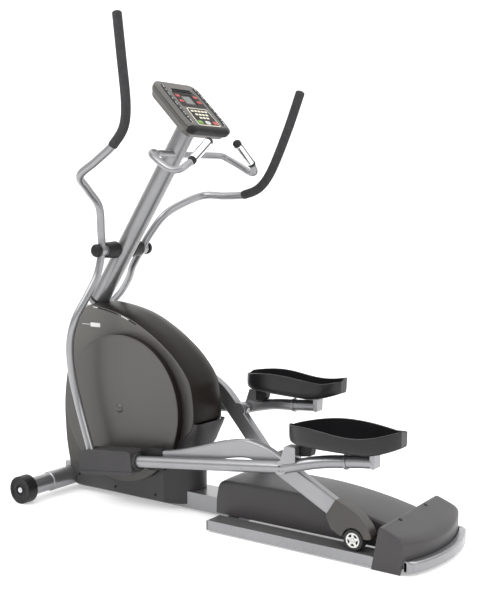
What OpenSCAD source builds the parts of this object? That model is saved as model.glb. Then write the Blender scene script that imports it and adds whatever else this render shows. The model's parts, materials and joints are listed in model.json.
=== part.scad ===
// Front-drive elliptical trainer, in millimetres. +X points to the rear, where the user
// stands, -Y is the user's left and Z = 0 is the floor. Modules are written about the crank
// axle's vertical plane and moved to the middle of the footprint by at_crank().

/* [Drive] */
// Crank radius, half of the stride
crank_r = 250; // [248:1:252]
// Height of the crank axle
axle_z = 366; // [364:1:368]
// Radius of the round crank discs
disc_r = 280; // [270:1:285]
// Flywheel radius
flywheel_r = 116; // [90:1:118]
// Radius of the large drive pulley
pulley_r = 140; // [120:1:142]

/* [Housing] */
// Half width of the housing over its side shells
shell_y = 88; // [86:1:90]
// Thickness of the moulded shells
wall = 3; // [2.5:0.5:4]

/* [Handlebars] */
// Height of the handlebar pivot
pivot_z = 960; // [955:1:965]
// Swing of a handlebar between its two limits, in degrees
swing_deg = 32.3; // [31:0.1:33]
// Outer diameter of the handlebar tube
bar_d = 30; // [26:1:31]
// Outer diameter of the foam grips
foam_d = 35; // [34:1:40]
// Outer diameter of the mast
mast_d = 74; // [66:1:76]

/* [Ramp] */
// Height of the rail tops, on which the slide wheels roll
track_z = 41; // [39:1:42]
// Radius of the slide wheels
wheel_r = 35; // [30:1:36]
// Half width over the rails
rail_y = 214; // [210:1:216]

/* [Stabiliser] */
// Radius of the transport wheels at the front
roller_r = 52.5; // [50:0.5:54]
// Half width over the transport wheels
half_width = 356; // [340:1:360]

/* [Hidden] */
$fn = 48;

// Reach of the object in front of and behind the crank axle
stab_x = -305;
front_x = -537.3;
rear_x = 1302.5;
crank_x = -(front_x + rear_x) / 2;

// Crank pin and slide wheel of the left side, in the rest pose
pin_deg = -37;
pin_x = crank_r * cos(pin_deg);
pin_z = axle_z + crank_r * sin(pin_deg);
wheel_z = track_z + wheel_r + 0.5;
arm_len = 858;
wheel_x = pin_x + sqrt(arm_len * arm_len - (pin_z - wheel_z) * (pin_z - wheel_z));

// The right side rests where the left side arrives after half a turn of the crank
pin2_z = axle_z - crank_r * sin(pin_deg);
wheel2_x = -pin_x + sqrt(arm_len * arm_len - (pin2_z - wheel_z) * (pin2_z - wheel_z));
stride = wheel_x - wheel2_x;
arm_tilt = asin((pin2_z - wheel_z) / arm_len) - asin((pin_z - wheel_z) / arm_len);
pedal_tilt = 2.2;

// Pivots of the linkage on the left side
hinge_x = 780;
hinge_z = 272;
pivot_x = -88.5;
knuckle_x = pivot_x + 10;
knuckle_z = pivot_z - 788;
bar_y = 117;

// Lateral layers, as distances from the middle plane
disc_y = 127;
disc_rim = 30;
arm_in = 145;
arm_out = 177;
tube_y = 201;
low_bar_y = 190;

steel = "#9b9ca0";
shell_grey = "#66645f";
gloss_black = "#2a2725";
dark_grey = "#4b4849";
black = "#232325";
light_metal = "#d6d6d4";

// ---------- helpers ----------

module at_crank() {
    translate([crank_x, 0, 0]) children();
}

// Cylinder along Y between two distances from the middle plane
module y_rod(x, z, r, y0, y1) {
    translate([x, y0, z]) rotate([-90, 0, 0]) cylinder(r = r, h = y1 - y0);
}

// Extrudes an outline in X and Z between two Y values
module y_slab(points, y0, y1) {
    translate([0, y1, 0]) rotate([90, 0, 0]) linear_extrude(y1 - y0) polygon(points);
}

// Box given by its low and high corners
module box(low, high) {
    translate(low) cube(high - low);
}

function unit(v) = v / norm(v);

// Catmull-Rom point between p1 and p2
function cr(p0, p1, p2, p3, t) =
    0.5 * (2 * p1 + (p2 - p0) * t + (2 * p0 - 5 * p1 + 4 * p2 - p3) * t * t
           + (3 * p1 - p0 - 3 * p2 + p3) * t * t * t);

// Smooth curve through the points of p, with n steps in each span
function curve(p, n) = concat(
    [for (i = [0 : len(p) - 2], k = [0 : n - 1])
        cr(p[max(i - 1, 0)], p[i], p[i + 1], p[min(i + 2, len(p) - 1)], k / n)],
    [p[len(p) - 1]]);

// Outline offset by d to the left of its direction of travel
function offset_line(p, d) = [for (i = [0 : len(p) - 1])
    let (t = unit(p[min(i + 1, len(p) - 1)] - p[max(i - 1, 0)])) p[i] + d * [-t[1], t[0]]];

function reversed(p) = [for (i = [len(p) - 1 : -1 : 0]) p[i]];

function tangent(p, i) = unit(p[min(i + 1, len(p) - 1)] - p[max(i - 1, 0)]);

// Side direction carried along a path without twist
function sides_along(p, i = 0, prev = [0, 1, 0.001]) =
    i == len(p) ? [] :
    let (t = tangent(p, i), s = unit(prev - (prev * t) * t))
    concat([s], sides_along(p, i + 1, s));

// Closed solid through rings that all have the same number of points
module loft(rings) {
    n = len(rings[0]);
    m = len(rings);
    polyhedron(
        points = [for (r = rings) each r],
        faces = concat(
            [[for (j = [n - 1 : -1 : 0]) j]],
            [for (i = [0 : m - 2], j = [0 : n - 1])
                each [[i * n + j, i * n + (j + 1) % n, (i + 1) * n + j],
                      [i * n + (j + 1) % n, (i + 1) * n + (j + 1) % n, (i + 1) * n + j]]],
            [[for (j = [0 : n - 1]) (m - 1) * n + j]]));
}

// Shell through open rings, each the outer line followed by the inner line reversed
module shell_loft(rings) {
    n = len(rings[0]);
    m = len(rings);
    last = (m - 1) * n;
    polyhedron(
        points = [for (r = rings) each r],
        faces = concat(
            [for (j = [0 : n / 2 - 2]) [n - 1 - j, n - 2 - j, j + 1, j]],
            [for (i = [0 : m - 2], j = [0 : n - 1])
                each [[i * n + j, i * n + (j + 1) % n, (i + 1) * n + j],
                      [i * n + (j + 1) % n, (i + 1) * n + (j + 1) % n, (i + 1) * n + j]]],
            [for (j = [0 : n / 2 - 2])
                [last + j, last + j + 1, last + n - 2 - j, last + n - 1 - j]]));
}

// Round tube of radius r swept along path
module sweep(path, r, n) {
    s = sides_along(path);
    loft([for (i = [0 : len(path) - 1])
        let (t = tangent(path, i), u = s[i], w = cross(t, u))
        [for (k = [0 : n - 1]) path[i] + r * (cos(360 * k / n) * u - sin(360 * k / n) * w)]]);
}

// Rectangle with rounded corners, centred
function round_rect(l, w, r, n = 5) = [for (c = [0 : 3], k = [0 : n])
    let (a = 90 * (c + k / n),
         sx = (c == 0 || c == 3) ? 1 : -1,
         sy = c < 2 ? 1 : -1)
    [sx * (l / 2 - r) + r * cos(a), sy * (w / 2 - r) + r * sin(a)]];

// Moves the left side's linkage to the right side's rest pose
module mirrored() {
    mirror([0, 1, 0]) children();
}

module turn_y(x, z, deg) {
    translate([x, 0, z]) rotate([0, deg, 0]) translate([-x, 0, -z]) children();
}

module arm_pose_right() {
    mirrored() translate([-stride, 0, 0]) turn_y(wheel_x, wheel_z, arm_tilt) children();
}

module pedal_pose_right() {
    arm_pose_right() turn_y(hinge_x, hinge_z, pedal_tilt - arm_tilt) children();
}

module swing_pose_right() {
    mirrored() turn_y(pivot_x, pivot_z, swing_deg) children();
}

// ---------- frame ----------

beam_y = 58;
upright_x = -190;
fly_x = 135;
fly_z = 215;
plate_y = 46;
plate_t = 6;
bearing_r = 26;

module bearing_plate(side) {
    plate = [[-165, 72], [220, 72], [220, 130], [60, 420], [-20, 470], [-165, 470]];
    y0 = side < 0 ? -plate_y - plate_t : plate_y;
    difference() {
        y_slab(plate, y0, y0 + plate_t);
        y_rod(0, axle_z, bearing_r, -100, 100);
        y_rod(fly_x, fly_z, 10, -100, 100);
    }
}

module main_frame() {
    color(steel) at_crank() {
        difference() {
            union() {
                box([stab_x + 20, -beam_y, 10], [470, beam_y, 72]);
                box([stab_x - 30, -80, 70], [stab_x + 40, 80, 105]);
                box([upright_x - 25, -25, 72], [upright_x + 25, 25, 728]);
                intersection() {
                    box([upright_x - 80, -40, 726], [upright_x + 40, 40, 736.4]);
                    along_mast(mast_d / 2 - 0.2, -120, 100);
                }
            }
            y_rod(stab_x, roller_r, 38, -100, 100);
        }
        bearing_plate(-1);
        bearing_plate(1);
    }
}

tube_end = half_width - 50;

module front_stabiliser() {
    color(steel) at_crank() difference() {
        union() {
            y_rod(stab_x, roller_r, 34, -tube_end, tube_end);
            y_rod(stab_x, roller_r, 38, -205, 205);
        }
        y_rod(stab_x, roller_r, 6, -tube_end - 1, -tube_end + 40);
        y_rod(stab_x, roller_r, 6, tube_end - 40, tube_end + 1);
    }
}

module roller(side) {
    in_y = side < 0 ? -half_width : tube_end + 1;
    out_y = side < 0 ? -half_width : half_width - 12;
    rim_y = side < 0 ? -half_width - 1 : half_width - 4;
    color(dark_grey) at_crank() difference() {
        y_rod(stab_x, roller_r, roller_r, in_y, in_y + 49);
        y_rod(stab_x, roller_r, 6.05, -half_width - 1, half_width + 1);
        y_rod(stab_x, roller_r, 14, out_y - 1, out_y + 13);
        difference() {
            y_rod(stab_x, roller_r, roller_r - 8, rim_y, rim_y + 5);
            y_rod(stab_x, roller_r, 20, rim_y - 1, rim_y + 6);
        }
    }
}

module roller_left() { roller(-1); }
module roller_right() { roller(1); }

// Bolts of the transport wheels and the screws of the housing and the ramp covers
module frame_screws() {
    color(black) at_crank() {
        for (s = [-1, 1]) mirror([0, s < 0 ? 0 : 1, 0]) {
            y_rod(stab_x, roller_r, 5.97, -half_width + 11, -tube_end + 38);
            y_rod(stab_x, roller_r, 11, -half_width + 3, -half_width + 11);
            for (p = [[-250, 66], [-60, 44], [140, 44]])
                y_rod(p[0], p[1], 4.5, -shell_y - 5, -shell_y - 0.5);
            translate([1160, -95, rear_top(1160) + 0.3]) rotate([0, rear_lean, 0])
                cylinder(r = 6, h = 2.5);
        }
    }
}

mast_low = [-214, 752];
mast_high = [214, 1384];
mast_lean = atan2(mast_high[0] - mast_low[0], mast_high[1] - mast_low[1]);

module along_mast(r, from, to) {
    translate([mast_low[0], 0, mast_low[1]]) rotate([0, mast_lean, 0])
        translate([0, 0, from]) cylinder(r = r, h = to - from);
}

module console_mast() {
    color(steel) at_crank() difference() {
        intersection() {
            along_mast(mast_d / 2, -120, 900);
            box([-400, -60, 736.5], [400, 60, 1500]);
        }
        along_mast(mast_d / 2 - 4, -200, 1000);
        y_rod(pivot_x, pivot_z, 25, -80, 80);
        y_rod(bar_root[0], bar_root[2], 14.5, -80, 80);
        in_console() box([-200, -200, -80], [200, 200, 100]);
    }
}

// ---------- housing ----------

// Side outline from the front foot over the top to the rear
outline_top = curve([[-300, 106], [-318, 200], [-325, 340], [-312, 455], [-285, 570],
    [-255, 655], [-225, 712], [-185, 741], [-110, 736], [0, 710], [105, 661],
    [188, 607], [250, 553], [300, 487], [318, 410], [320, 338]], 3);
outline_low = [[310, 308], [254, 258], [185, 175], [120, 106]];
outline = concat(outline_top, outline_low);
inner_outline = offset_line(outline, -wall);

module side_shell(side) {
    y_out = shell_y;
    color(shell_grey) at_crank() mirror([0, side < 0 ? 0 : 1, 0]) difference() {
        y_slab(outline, -y_out, -62);
        y_slab(inner_outline, -y_out + wall, -61);
        y_rod(0, axle_z, 30, -y_out - 1, -60);
        y_rod(stab_x, roller_r, 39, -y_out - 1, -60);
    }
}

module side_shell_left() { side_shell(-1); }
module side_shell_right() { side_shell(1); }

// Crowned strip over the gap between the side shells, built up in three layers
spine_y = 82;
spine_layers = [[spine_y, 0.3, 5], [66, 4.9, 8], [42, 7.9, 10.5]];

module spine_cover() {
    line = [for (i = [2 : len(outline_top) - 1]) outline_top[i]];
    color(gloss_black) at_crank() difference() {
        for (l = spine_layers)
            y_slab(concat(offset_line(line, l[2]), reversed(offset_line(line, l[1]))), -l[0], l[0]);
        along_mast(mast_d / 2 + 0.5, -60, 120);
    }
}

shroud_top = 104;

module lower_shroud() {
    side = [[-300, shroud_top], [-293, 34], [-262, 24], [180, 24], [180, 166],
            [120, shroud_top]];
    color(dark_grey) at_crank() difference() {
        union() {
            y_slab(side, -shell_y, -shell_y + 4);
            y_slab(side, shell_y - 4, shell_y);
            y_slab([[-300, shroud_top], [-293, 34], [-262, 24], [-255, 28], [-288, 38],
                    [-295, shroud_top]], -shell_y, shell_y);
        }
        y_rod(stab_x, roller_r, 39, -120, 120);
        box([stab_x - 40, -81, 60], [stab_x + 42, 81, 130]);
        box([-310, -beam_y - 1, 0], [-200, beam_y + 1, 73]);
        box([-214, shell_y - 6, 50], [-186, shell_y + 1, 72]);
    }
}

// Rounded rear of the base, flared out to a lip under the spine cover
cowl_levels = [[73, 180.5, 300, 2], [166, 180.5, 300, 2], [215, 219, 305, 2.3],
               [256, 255, 326, 3], [306, 309, 338, 4], [336, 320, 348, 5]];

module rear_cowl() {
    n = 12;
    half = shell_y;
    function rim(l, inset) = [for (k = [-n : n])
        let (a = 90 * k / n, y = (half - inset) * sin(a),
             c = pow(max(1 - pow(abs(sin(a)), l[3]), 0), 1 / l[3]))
        [l[1] + (l[2] - inset - l[1]) * c, y, l[0]]];
    color(dark_grey) at_crank()
        shell_loft([for (l = cowl_levels) concat(rim(l, 0), reversed(rim(l, 4)))]);
}

module power_inlet() {
    color(black) at_crank() difference() {
        box([-213, shell_y - 24, 51], [-187, shell_y + 1, 71]);
        box([-209, shell_y - 14, 55], [-191, shell_y + 2, 67]);
    }
}

// ---------- ramp ----------

rail_x0 = 476;
rail_x1 = 1128;
rail_in = 138;

module ramp_frame() {
    color(steel) at_crank() {
        for (s = [0, 1]) mirror([0, s, 0]) {
            box([rail_x0, -rail_y, 7], [rail_x1, -rail_in, track_z - 5]);
            box([rail_x0, -rail_y, track_z - 5], [rail_x1, -rail_y + 2, track_z]);
        }
        box([500, -rail_in, 10], [545, rail_in, 36]);
        box([1110, -rail_in, 10], [1160, rail_in, 36]);
        box([1110, -205, 7], [1180, 205, 14]);
        box([470, -30, 10], [1232, 30, 34]);
    }
}

module rail_tracks() {
    color(dark_grey) at_crank() for (s = [0, 1]) mirror([0, s, 0]) difference() {
        box([rail_x0 + 1, -rail_y + 2, track_z - 5], [rail_x1, -rail_in, track_z]);
        for (y = [-207, -144])
            box([rail_x0 + 10, y, track_z - 2], [rail_x1 + 1, y + 4, track_z + 1]);
    }
}

cover_y = 119;
cover_line = curve([[445, 40], [452, 120], [470, 158], [540, 165], [660, 168], [800, 167],
    [900, 160], [1000, 147], [1080, 132], [1150, 116]], 4);

// The hollow cover between the rails, open below and at the rear
module centre_cover() {
    outer = concat(cover_line, [[1150, 39], [445, 39]]);
    inner = concat(offset_line(cover_line, -4), [[1152, 108], [1152, 30], [449, 30]]);
    color(dark_grey) at_crank() difference() {
        y_slab(outer, -cover_y, cover_y);
        y_slab(inner, -cover_y + 4, cover_y - 4);
        box([400, -beam_y - 1, 0], [469, beam_y + 1, 74]);
    }
}

rear_arc_x = 742;
rear_arc_r = 530;

rear_lean = 20;

function rear_top(x) = 140 - (x - 1150) * tan(rear_lean);

module rear_cover() {
    half = rail_y + 2;
    profile = [[1118, 2], [1134, 118], [1140, 131], [1152, rear_top(1152)],
               [1280, rear_top(1280)], [1280, 34], [1224, 34], [1224, 2]];
    hollow = [[1122, 0], [1138, 114], [1152, rear_top(1152) - 7], [1290, rear_top(1290) - 7],
              [1290, 30], [1290, 0]];
    color(dark_grey) at_crank() intersection() {
        difference() {
            y_slab(profile, -half, half);
            intersection() {
                y_slab(hollow, -half + 5, half - 5);
                translate([rear_arc_x, 0, -10]) cylinder(r = rear_arc_r - 5, h = 200, $fn = 96);
            }
            box([1110, -cover_y - 0.5, 0], [1151, cover_y + 0.5, 121]);
            box([1100, -rail_y, 0], [rail_x1 + 1, rail_y, track_z + 0.5]);
        }
        translate([rear_arc_x, 0, 0]) cylinder(r = rear_arc_r, h = 200, $fn = 96);
    }
}

module rear_bumper() {
    color(steel) at_crank() {
        intersection() {
            difference() {
                translate([rear_arc_x, 0, 12])
                    cylinder(r = rear_x - rear_arc_x, h = 36, $fn = 96);
                translate([rear_arc_x, 0, 11])
                    cylinder(r = rear_arc_r + 1, h = 40, $fn = 96);
            }
            box([1150, -212, 0], [1400, 212, 100]);
        }
        for (y = [-140, 100])
            box([1165, y, 14], [1266, y + 40, 30]);
    }
}

module ramp_feet() {
    color(black) at_crank() for (x = [530, 1160], y = [-176, 176])
        translate([x, y, 0]) cylinder(r = 16, h = 7);
}

// ---------- handlebar pivot, mast top and console ----------

pivot_half = 102;

module handlebar_pivot() {
    color(steel) at_crank() {
        y_rod(pivot_x, pivot_z, 24.9, -pivot_half + 0.5, pivot_half - 0.5);
        y_rod(pivot_x, pivot_z, 12, -151, 151);
    }
}

module pivot_covers() {
    color(black) at_crank() for (s = [0, 1]) mirror([0, s, 0]) {
        difference() {
            translate([pivot_x, -pivot_half + 0.5, pivot_z]) rotate([-90, 0, 0])
                cylinder(r1 = 28, r2 = 33, h = 60);
            y_rod(pivot_x, pivot_z, 25, -120, 0);
            along_mast(mast_d / 2 + 0.5, 0, 500);
        }
        difference() {
            union() {
                y_rod(pivot_x, pivot_z, 25, -148, -136);
                translate([pivot_x, -148, pivot_z]) rotate([90, 0, 0])
                    cylinder(r1 = 25, r2 = 15, h = 8);
            }
            y_rod(pivot_x, pivot_z, 12.1, -151.5, -130);
        }
    }
}

console_mid = [266.5, 0, 1488.5];

// Console frame: X down the slope to the user, Z out of the face
module in_console() {
    translate(console_mid) rotate([0, 45, 0]) children();
}

module console_outline(l, w, r, z0, z1) {
    translate([0, 0, z0]) linear_extrude(z1 - z0) polygon(round_rect(l, w, r));
}

module console_bracket() {
    color(steel) at_crank() in_console() difference() {
        union() {
            box([-5, -36, -79.5], [75, 36, -52.5]);
            box([-25, -50, -57], [95, 50, -50.5]);
        }
        box([2, -29, -80.5], [68, 29, -57]);
    }
}

module console_shell() {
    color(dark_grey) at_crank() in_console() difference() {
        union() {
            console_outline(256, 252, 30, -34, -12);
            console_outline(236, 228, 28, -50, -34);
        }
        console_outline(240, 236, 26, -30, -11);
    }
}

key_x = 88;
key_gap = 0.4;

module console_face() {
    color(shell_grey) at_crank() in_console() difference() {
        union() {
            console_outline(256, 252, 30, -11.5, -3);
            console_outline(240, 235, 26, -24, -11);
            console_outline(240, 232, 28, -3, 0);
        }
        box([-62, -33, -7], [-8, 33, 1]);
        box([-92, -56, -5], [-78, 56, 1]);
        for (y = [-44, 0, 44])
            translate([key_x, y, -7]) linear_extrude(8)
                polygon(round_rect(17 + 2 * key_gap, 27 + 2 * key_gap, 5 + key_gap));
    }
}

module console_display() {
    color("#8d9490") at_crank() in_console() box([-61.5, -32.5, -6.9], [-8.5, 32.5, -1]);
}

module key(y, c) {
    color(c) at_crank() in_console() translate([key_x, y, -4.5])
        linear_extrude(6.5) polygon(round_rect(17, 27, 5));
}

module start_key() { key(-44, "#4d8a2c"); }
module stop_key() { key(44, "#b03428"); }
module level_key() { key(0, light_metal); }

bar_root = [188, 0, 1318];
grip_low = [394, -186, 1281];
grip_high = [396, -74, 1363];

module fixed_handlebar() {
    half = [[bar_root[0], -120, 1319], [236, -195, 1318], [252, -223, 1308],
            [300, -238, 1280], [350, -238, 1254], [380, -223, 1256], grip_low];
    path = concat(
        [for (p = reversed(half)) [p[0], p[1], p[2]]],
        [[bar_root[0], 0, bar_root[2]]],
        [for (p = half) [p[0], -p[1], p[2]]]);
    color(steel) at_crank() sweep(curve(path, 5), 12.5, 14);
}

// Pulse grips: contact tubes with insulating end rings
module pulse_grips() {
    axis = grip_high - grip_low;
    len_g = norm(axis);
    color(black) at_crank() for (s = [0, 1]) mirror([0, s, 0])
        translate(grip_low + axis * 0.02)
            rotate([0, acos(axis[2] / len_g), atan2(axis[1], axis[0])]) {
                cylinder(r = 16, h = len_g - 6);
                translate([0, 0, len_g - 6]) cylinder(r1 = 16, r2 = 11, h = 7);
            }
}

// ---------- drive ----------

module crank_bearings() {
    color(light_metal) at_crank() for (y0 = [-plate_y - plate_t - 4, plate_y - 2])
        difference() {
            y_rod(0, axle_z, bearing_r - 0.02, y0, y0 + 12);
            y_rod(0, axle_z, 12.55, y0 - 1, y0 + 13);
        }
}

module crank_axle() {
    color(steel) at_crank() {
        y_rod(0, axle_z, 12.5, -121, 121);
        for (y0 = [-122.5, 119]) y_rod(0, axle_z, 19, y0, y0 + 3.5);
    }
}

pulley_y = 12;
pulley_w = 20;

module drive_pulley() {
    color(dark_grey) at_crank() difference() {
        y_rod(0, axle_z, pulley_r, pulley_y, pulley_y + pulley_w);
        y_rod(0, axle_z, 12.5, 0, 60);
        for (a = [0 : 60 : 300])
            y_rod(85 * cos(a), axle_z + 85 * sin(a), 26, 0, 60);
    }
}

// Crank arms run from the axle to the pins that drive the connecting arms
module crank_arms() {
    color(steel) at_crank() for (s = [-1, 1]) {
        a = s < 0 ? pin_deg : pin_deg + 180;
        in_y = s < 0 ? -119 : 111;
        pin_y = s < 0 ? -arm_in + 1 : 115;
        translate([0, in_y + 8, axle_z]) rotate([90, 0, 0]) linear_extrude(8) difference() {
            rotate(a) union() {
                circle(r = 26);
                translate([18, -17]) square([crank_r - 18, 34]);
                translate([crank_r, 0]) circle(r = 22);
            }
            circle(r = 12.55);
        }
        y_rod(crank_r * cos(a), axle_z + crank_r * sin(a), 11, pin_y, pin_y + 29);
    }
}

module crank_disc(side) {
    a = side < 0 ? pin_deg : pin_deg + 180;
    color(shell_grey) at_crank() mirror([0, side < 0 ? 0 : 1, 0]) difference() {
        union() {
            y_rod(0, axle_z, disc_r, -disc_y, -disc_y + disc_rim);
            y_rod(0, axle_z, 19, -disc_y - 5, -disc_y + 2);
            y_rod(0, axle_z, 13, -disc_y - 8, -disc_y);
        }
        y_rod(0, axle_z, disc_r - 6, -disc_y + 4, -disc_y + disc_rim + 1);
        y_rod(crank_r * cos(a), axle_z + crank_r * sin(a), 11.3, -disc_y - 5, -disc_y + 6);
    }
}

module crank_disc_left() { crank_disc(-1); }
module crank_disc_right() { crank_disc(1); }

small_r = 26;

module flywheel() {
    color("#77787b") at_crank() {
        difference() {
            y_rod(fly_x, fly_z, flywheel_r, -36, -6);
            y_rod(fly_x, fly_z, flywheel_r - 30, -37, -30);
            y_rod(fly_x, fly_z, flywheel_r - 30, -12, -5);
        }
        y_rod(fly_x, fly_z, 9.9, -52, 52);
        y_rod(fly_x, fly_z, small_r, pulley_y, pulley_y + pulley_w);
    }
}

// Two concentric belt outlines round both pulleys
module belt_loop(extra) {
    hull() {
        translate([0, axle_z]) circle(r = pulley_r + extra, $fn = 72);
        translate([fly_x, fly_z]) circle(r = small_r + extra, $fn = 32);
    }
}

module drive_belt() {
    color(black) at_crank() translate([0, pulley_y + pulley_w - 2, 0]) rotate([90, 0, 0])
        linear_extrude(pulley_w - 4) difference() {
            belt_loop(4.4);
            belt_loop(0.4);
        }
}

// Direction square to the lower belt span, away from the belt
span = [fly_x, fly_z - axle_z];
wrap = asin((pulley_r - small_r) / norm(span));
span_dir = atan2(span[1], span[0]);
out_deg = span_dir - 90 + wrap;
idler_r = 18;
mid_span = ([0, axle_z] + pulley_r * [cos(out_deg), sin(out_deg)]
            + [fly_x, fly_z] + small_r * [cos(out_deg), sin(out_deg)]) / 2;
idler = mid_span + (idler_r + 5) * [cos(out_deg), sin(out_deg)];

module idler_roller() {
    color(light_metal) at_crank() difference() {
        y_rod(idler[0], idler[1], idler_r, pulley_y + 1, pulley_y + pulley_w - 1);
        y_rod(idler[0], idler[1], 6.05, 0, 60);
    }
}

module idler_arm() {
    color(steel) at_crank() {
        y_rod(idler[0], idler[1], 6, pulley_y - 1, plate_y);
        difference() {
            union() {
                y_rod(idler[0], idler[1], 11, pulley_y + pulley_w + 2, plate_y - 2);
                translate([idler[0] - 90, pulley_y + pulley_w + 2, idler[1] - 11])
                    cube([90, plate_y - pulley_y - pulley_w - 4, 22]);
            }
            y_rod(idler[0], idler[1], 6, 0, 100);
        }
    }
}

// Brake shoe with its magnets over the flywheel rim, and the servo motor that moves it
module magnetic_brake() {
    color(light_metal) at_crank() {
        intersection() {
            difference() {
                y_rod(fly_x, fly_z, flywheel_r + 14, -38, -4);
                y_rod(fly_x, fly_z, flywheel_r + 3, -50, 10);
            }
            box([-20, -50, 120], [60, 50, 300]);
        }
        box([-80, -38, 190], [-2, -4, 212]);
        box([-140, -40, 130], [-80, 0, 230]);
    }
}

// ---------- linkage, drawn on the left side ----------

arm_line = curve([[pin_x, pin_z], [262, 217], [330, 231], [420, 257], [520, 288],
    [606, 304], [660, 299], [709, 283], [775, 251], [857, 209], [928, 172],
    [985, 143]], 3);

module connecting_arm_body() {
    half_h = 31;
    nose = offset_line(arm_line, half_h);
    back = offset_line(arm_line, -half_h);
    difference() {
        union() {
            y_slab(concat(nose, reversed(back)), -arm_out, -arm_in);
            y_rod(pin_x, pin_z, half_h - 0.5, -arm_out, -arm_in);
            y_rod(hinge_x, hinge_z, 26, -arm_out, -arm_in);
            y_slab([[960, 176], [1000, 150], [1062, 92], [1060, 66], [1036, 64],
                    [950, 130]], -156, -arm_in);
            box([790, -arm_out, 268], [812, -arm_in, 300]);
        }
        y_rod(pin_x, pin_z, 11.3, -arm_in - 6, -arm_in + 1);
        y_rod(hinge_x, hinge_z, 8.05, -arm_out - 1, -arm_in + 1);
        y_rod(wheel_x, wheel_z, 8.05, -arm_out, -arm_in + 1);
    }
}

module connecting_arm_left() { color(steel) at_crank() connecting_arm_body(); }
module connecting_arm_right() {
    color(steel) at_crank() arm_pose_right() connecting_arm_body();
}

// Black cap over the front head of a connecting arm
module end_cover_outline() {
    translate([pin_x - 4, pin_z - 6]) {
        circle(r = 42);
        rotate(6) translate([0, -41]) square([56, 80]);
    }
}

module arm_end_cover_body() {
    translate([0, -arm_out - 0.2, 0]) rotate([90, 0, 0])
        linear_extrude(1.5) end_cover_outline();
    translate([0, -arm_in - 2, 0]) rotate([90, 0, 0])
        linear_extrude(arm_out - arm_in - 1.8) difference() {
            end_cover_outline();
            polygon(concat(offset_line(arm_line, 31.3), reversed(offset_line(arm_line, -31.3))));
            translate([pin_x, pin_z]) circle(r = 32.5);
        }
}

module arm_end_cover_left() { color(black) at_crank() arm_end_cover_body(); }
module arm_end_cover_right() {
    color(black) at_crank() arm_pose_right() arm_end_cover_body();
}

// Fin-shaped cover over a slide wheel, open below for the wheel
module wheel_cover_body() {
    fin = concat([[946, 142], [982, 197]],
                 curve([[982, 197], [1030, 178], [1070, 155], [1098, 126], [1112, 98]], 4),
                 [[1098, 92], [1000, 84], [962, 100]]);
    arch_r = wheel_r + 6;
    difference() {
        y_slab(fin, -204, -arm_out + 20);
        y_rod(wheel_x, wheel_z, arch_r, -210, -150);
        y_slab(concat(offset_line(arm_line, 31.3), reversed(offset_line(arm_line, -31.3))),
               -arm_out - 0.3, -arm_in + 1);
        y_slab([[960, 177], [1000, 151], [1063, 93], [1060, 60], [1030, 60], [950, 129]],
               -157, -arm_in);
    }
}

module wheel_cover_left() { color(gloss_black) at_crank() wheel_cover_body(); }
module wheel_cover_right() {
    color(gloss_black) at_crank() arm_pose_right() wheel_cover_body();
}

module slide_wheel_body() {
    difference() {
        union() {
            y_rod(wheel_x, wheel_z, wheel_r, -204, -162);
        }
        y_rod(wheel_x, wheel_z, 8.05, -210, -150);
        difference() {
            y_rod(wheel_x, wheel_z, 23, -205, -200);
            y_rod(wheel_x, wheel_z, 9.5, -206, -199);
            for (a = [0 : 72 : 288])
                translate([wheel_x, 0, wheel_z]) rotate([0, a, 0])
                    box([0, -206, -4], [24, -199, 4]);
        }
    }
}

module slide_wheel_left() { color(black) at_crank() slide_wheel_body(); }
module slide_wheel_right() {
    color(black) at_crank() mirrored() translate([-stride, 0, 0]) slide_wheel_body();
}

module wheel_axle_body() {
    y_rod(wheel_x, wheel_z, 8, -206, -arm_in - 0.5);
}

module wheel_axle_left() { color(light_metal) at_crank() wheel_axle_body(); }
module wheel_axle_right() {
    color(light_metal) at_crank() mirrored() translate([-stride, 0, 0]) wheel_axle_body();
}

// Pedal arm: straight tube from the knuckle, bent inwards under the pedal
tube_r = 21;
tube_rise = (hinge_z - knuckle_z) / (hinge_x - knuckle_x);
clevis_start = 62;

module pedal_arm_body() {
    x0 = knuckle_x + clevis_start;
    front = [[x0, -tube_y, knuckle_z + clevis_start * tube_rise],
             [hinge_x - 60, -tube_y, hinge_z - 60 * tube_rise]];
    rear = curve([front[1], [hinge_x, -tube_y, hinge_z], [850, -199, 291],
                  [900, -193, 304], [950, -184, 313], [1000, -178, 319],
                  [1050, -176, 326], [1106, -176, 332]], 4);
    mid = [for (k = [0 : 3]) front[0] + (front[1] - front[0]) * k / 4];
    y_rod(hinge_x, hinge_z, 7.98, -tube_y, -arm_in - 1);
    difference() {
        union() {
            sweep(concat(mid, rear), tube_r, 18);
            y_rod(hinge_x, hinge_z, 24, -tube_y - tube_r + 4, -arm_out - 1.5);
        }
        y_rod(hinge_x, hinge_z, 7.9, -tube_y + 1, -arm_in);
    }
    translate([1006, -178, 319.5]) rotate([0, 83, 2]) cylinder(r = 25, h = 10);
    y_slab([[1100, 318], [1110, 311], [1117, 314], [1117, 363], [1100, 363]], -196, -156);
    y_slab([[780, 284], [800, 350], [842, 350], [842, 300]], -222, -183);
    for (y = [-210, -173.5]) y_slab(concat(
        [for (a = [90 : 20 : 270]) [knuckle_x + 18 * cos(a), knuckle_z + 18 * sin(a)]],
        [[x0 + 6, knuckle_z - 12 + clevis_start * tube_rise],
         [x0 + 6, knuckle_z + 12 + clevis_start * tube_rise]]), y, y + 3.5);
    y_slab([[x0 - 4, knuckle_z - 2], [x0 + 8, knuckle_z], [x0 + 8, knuckle_z + 22],
            [x0 - 4, knuckle_z + 20]], -210, -170);
}

module pedal_arm_left() { color(steel) at_crank() pedal_arm_body(); }
module pedal_arm_right() { color(steel) at_crank() pedal_pose_right() pedal_arm_body(); }

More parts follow.
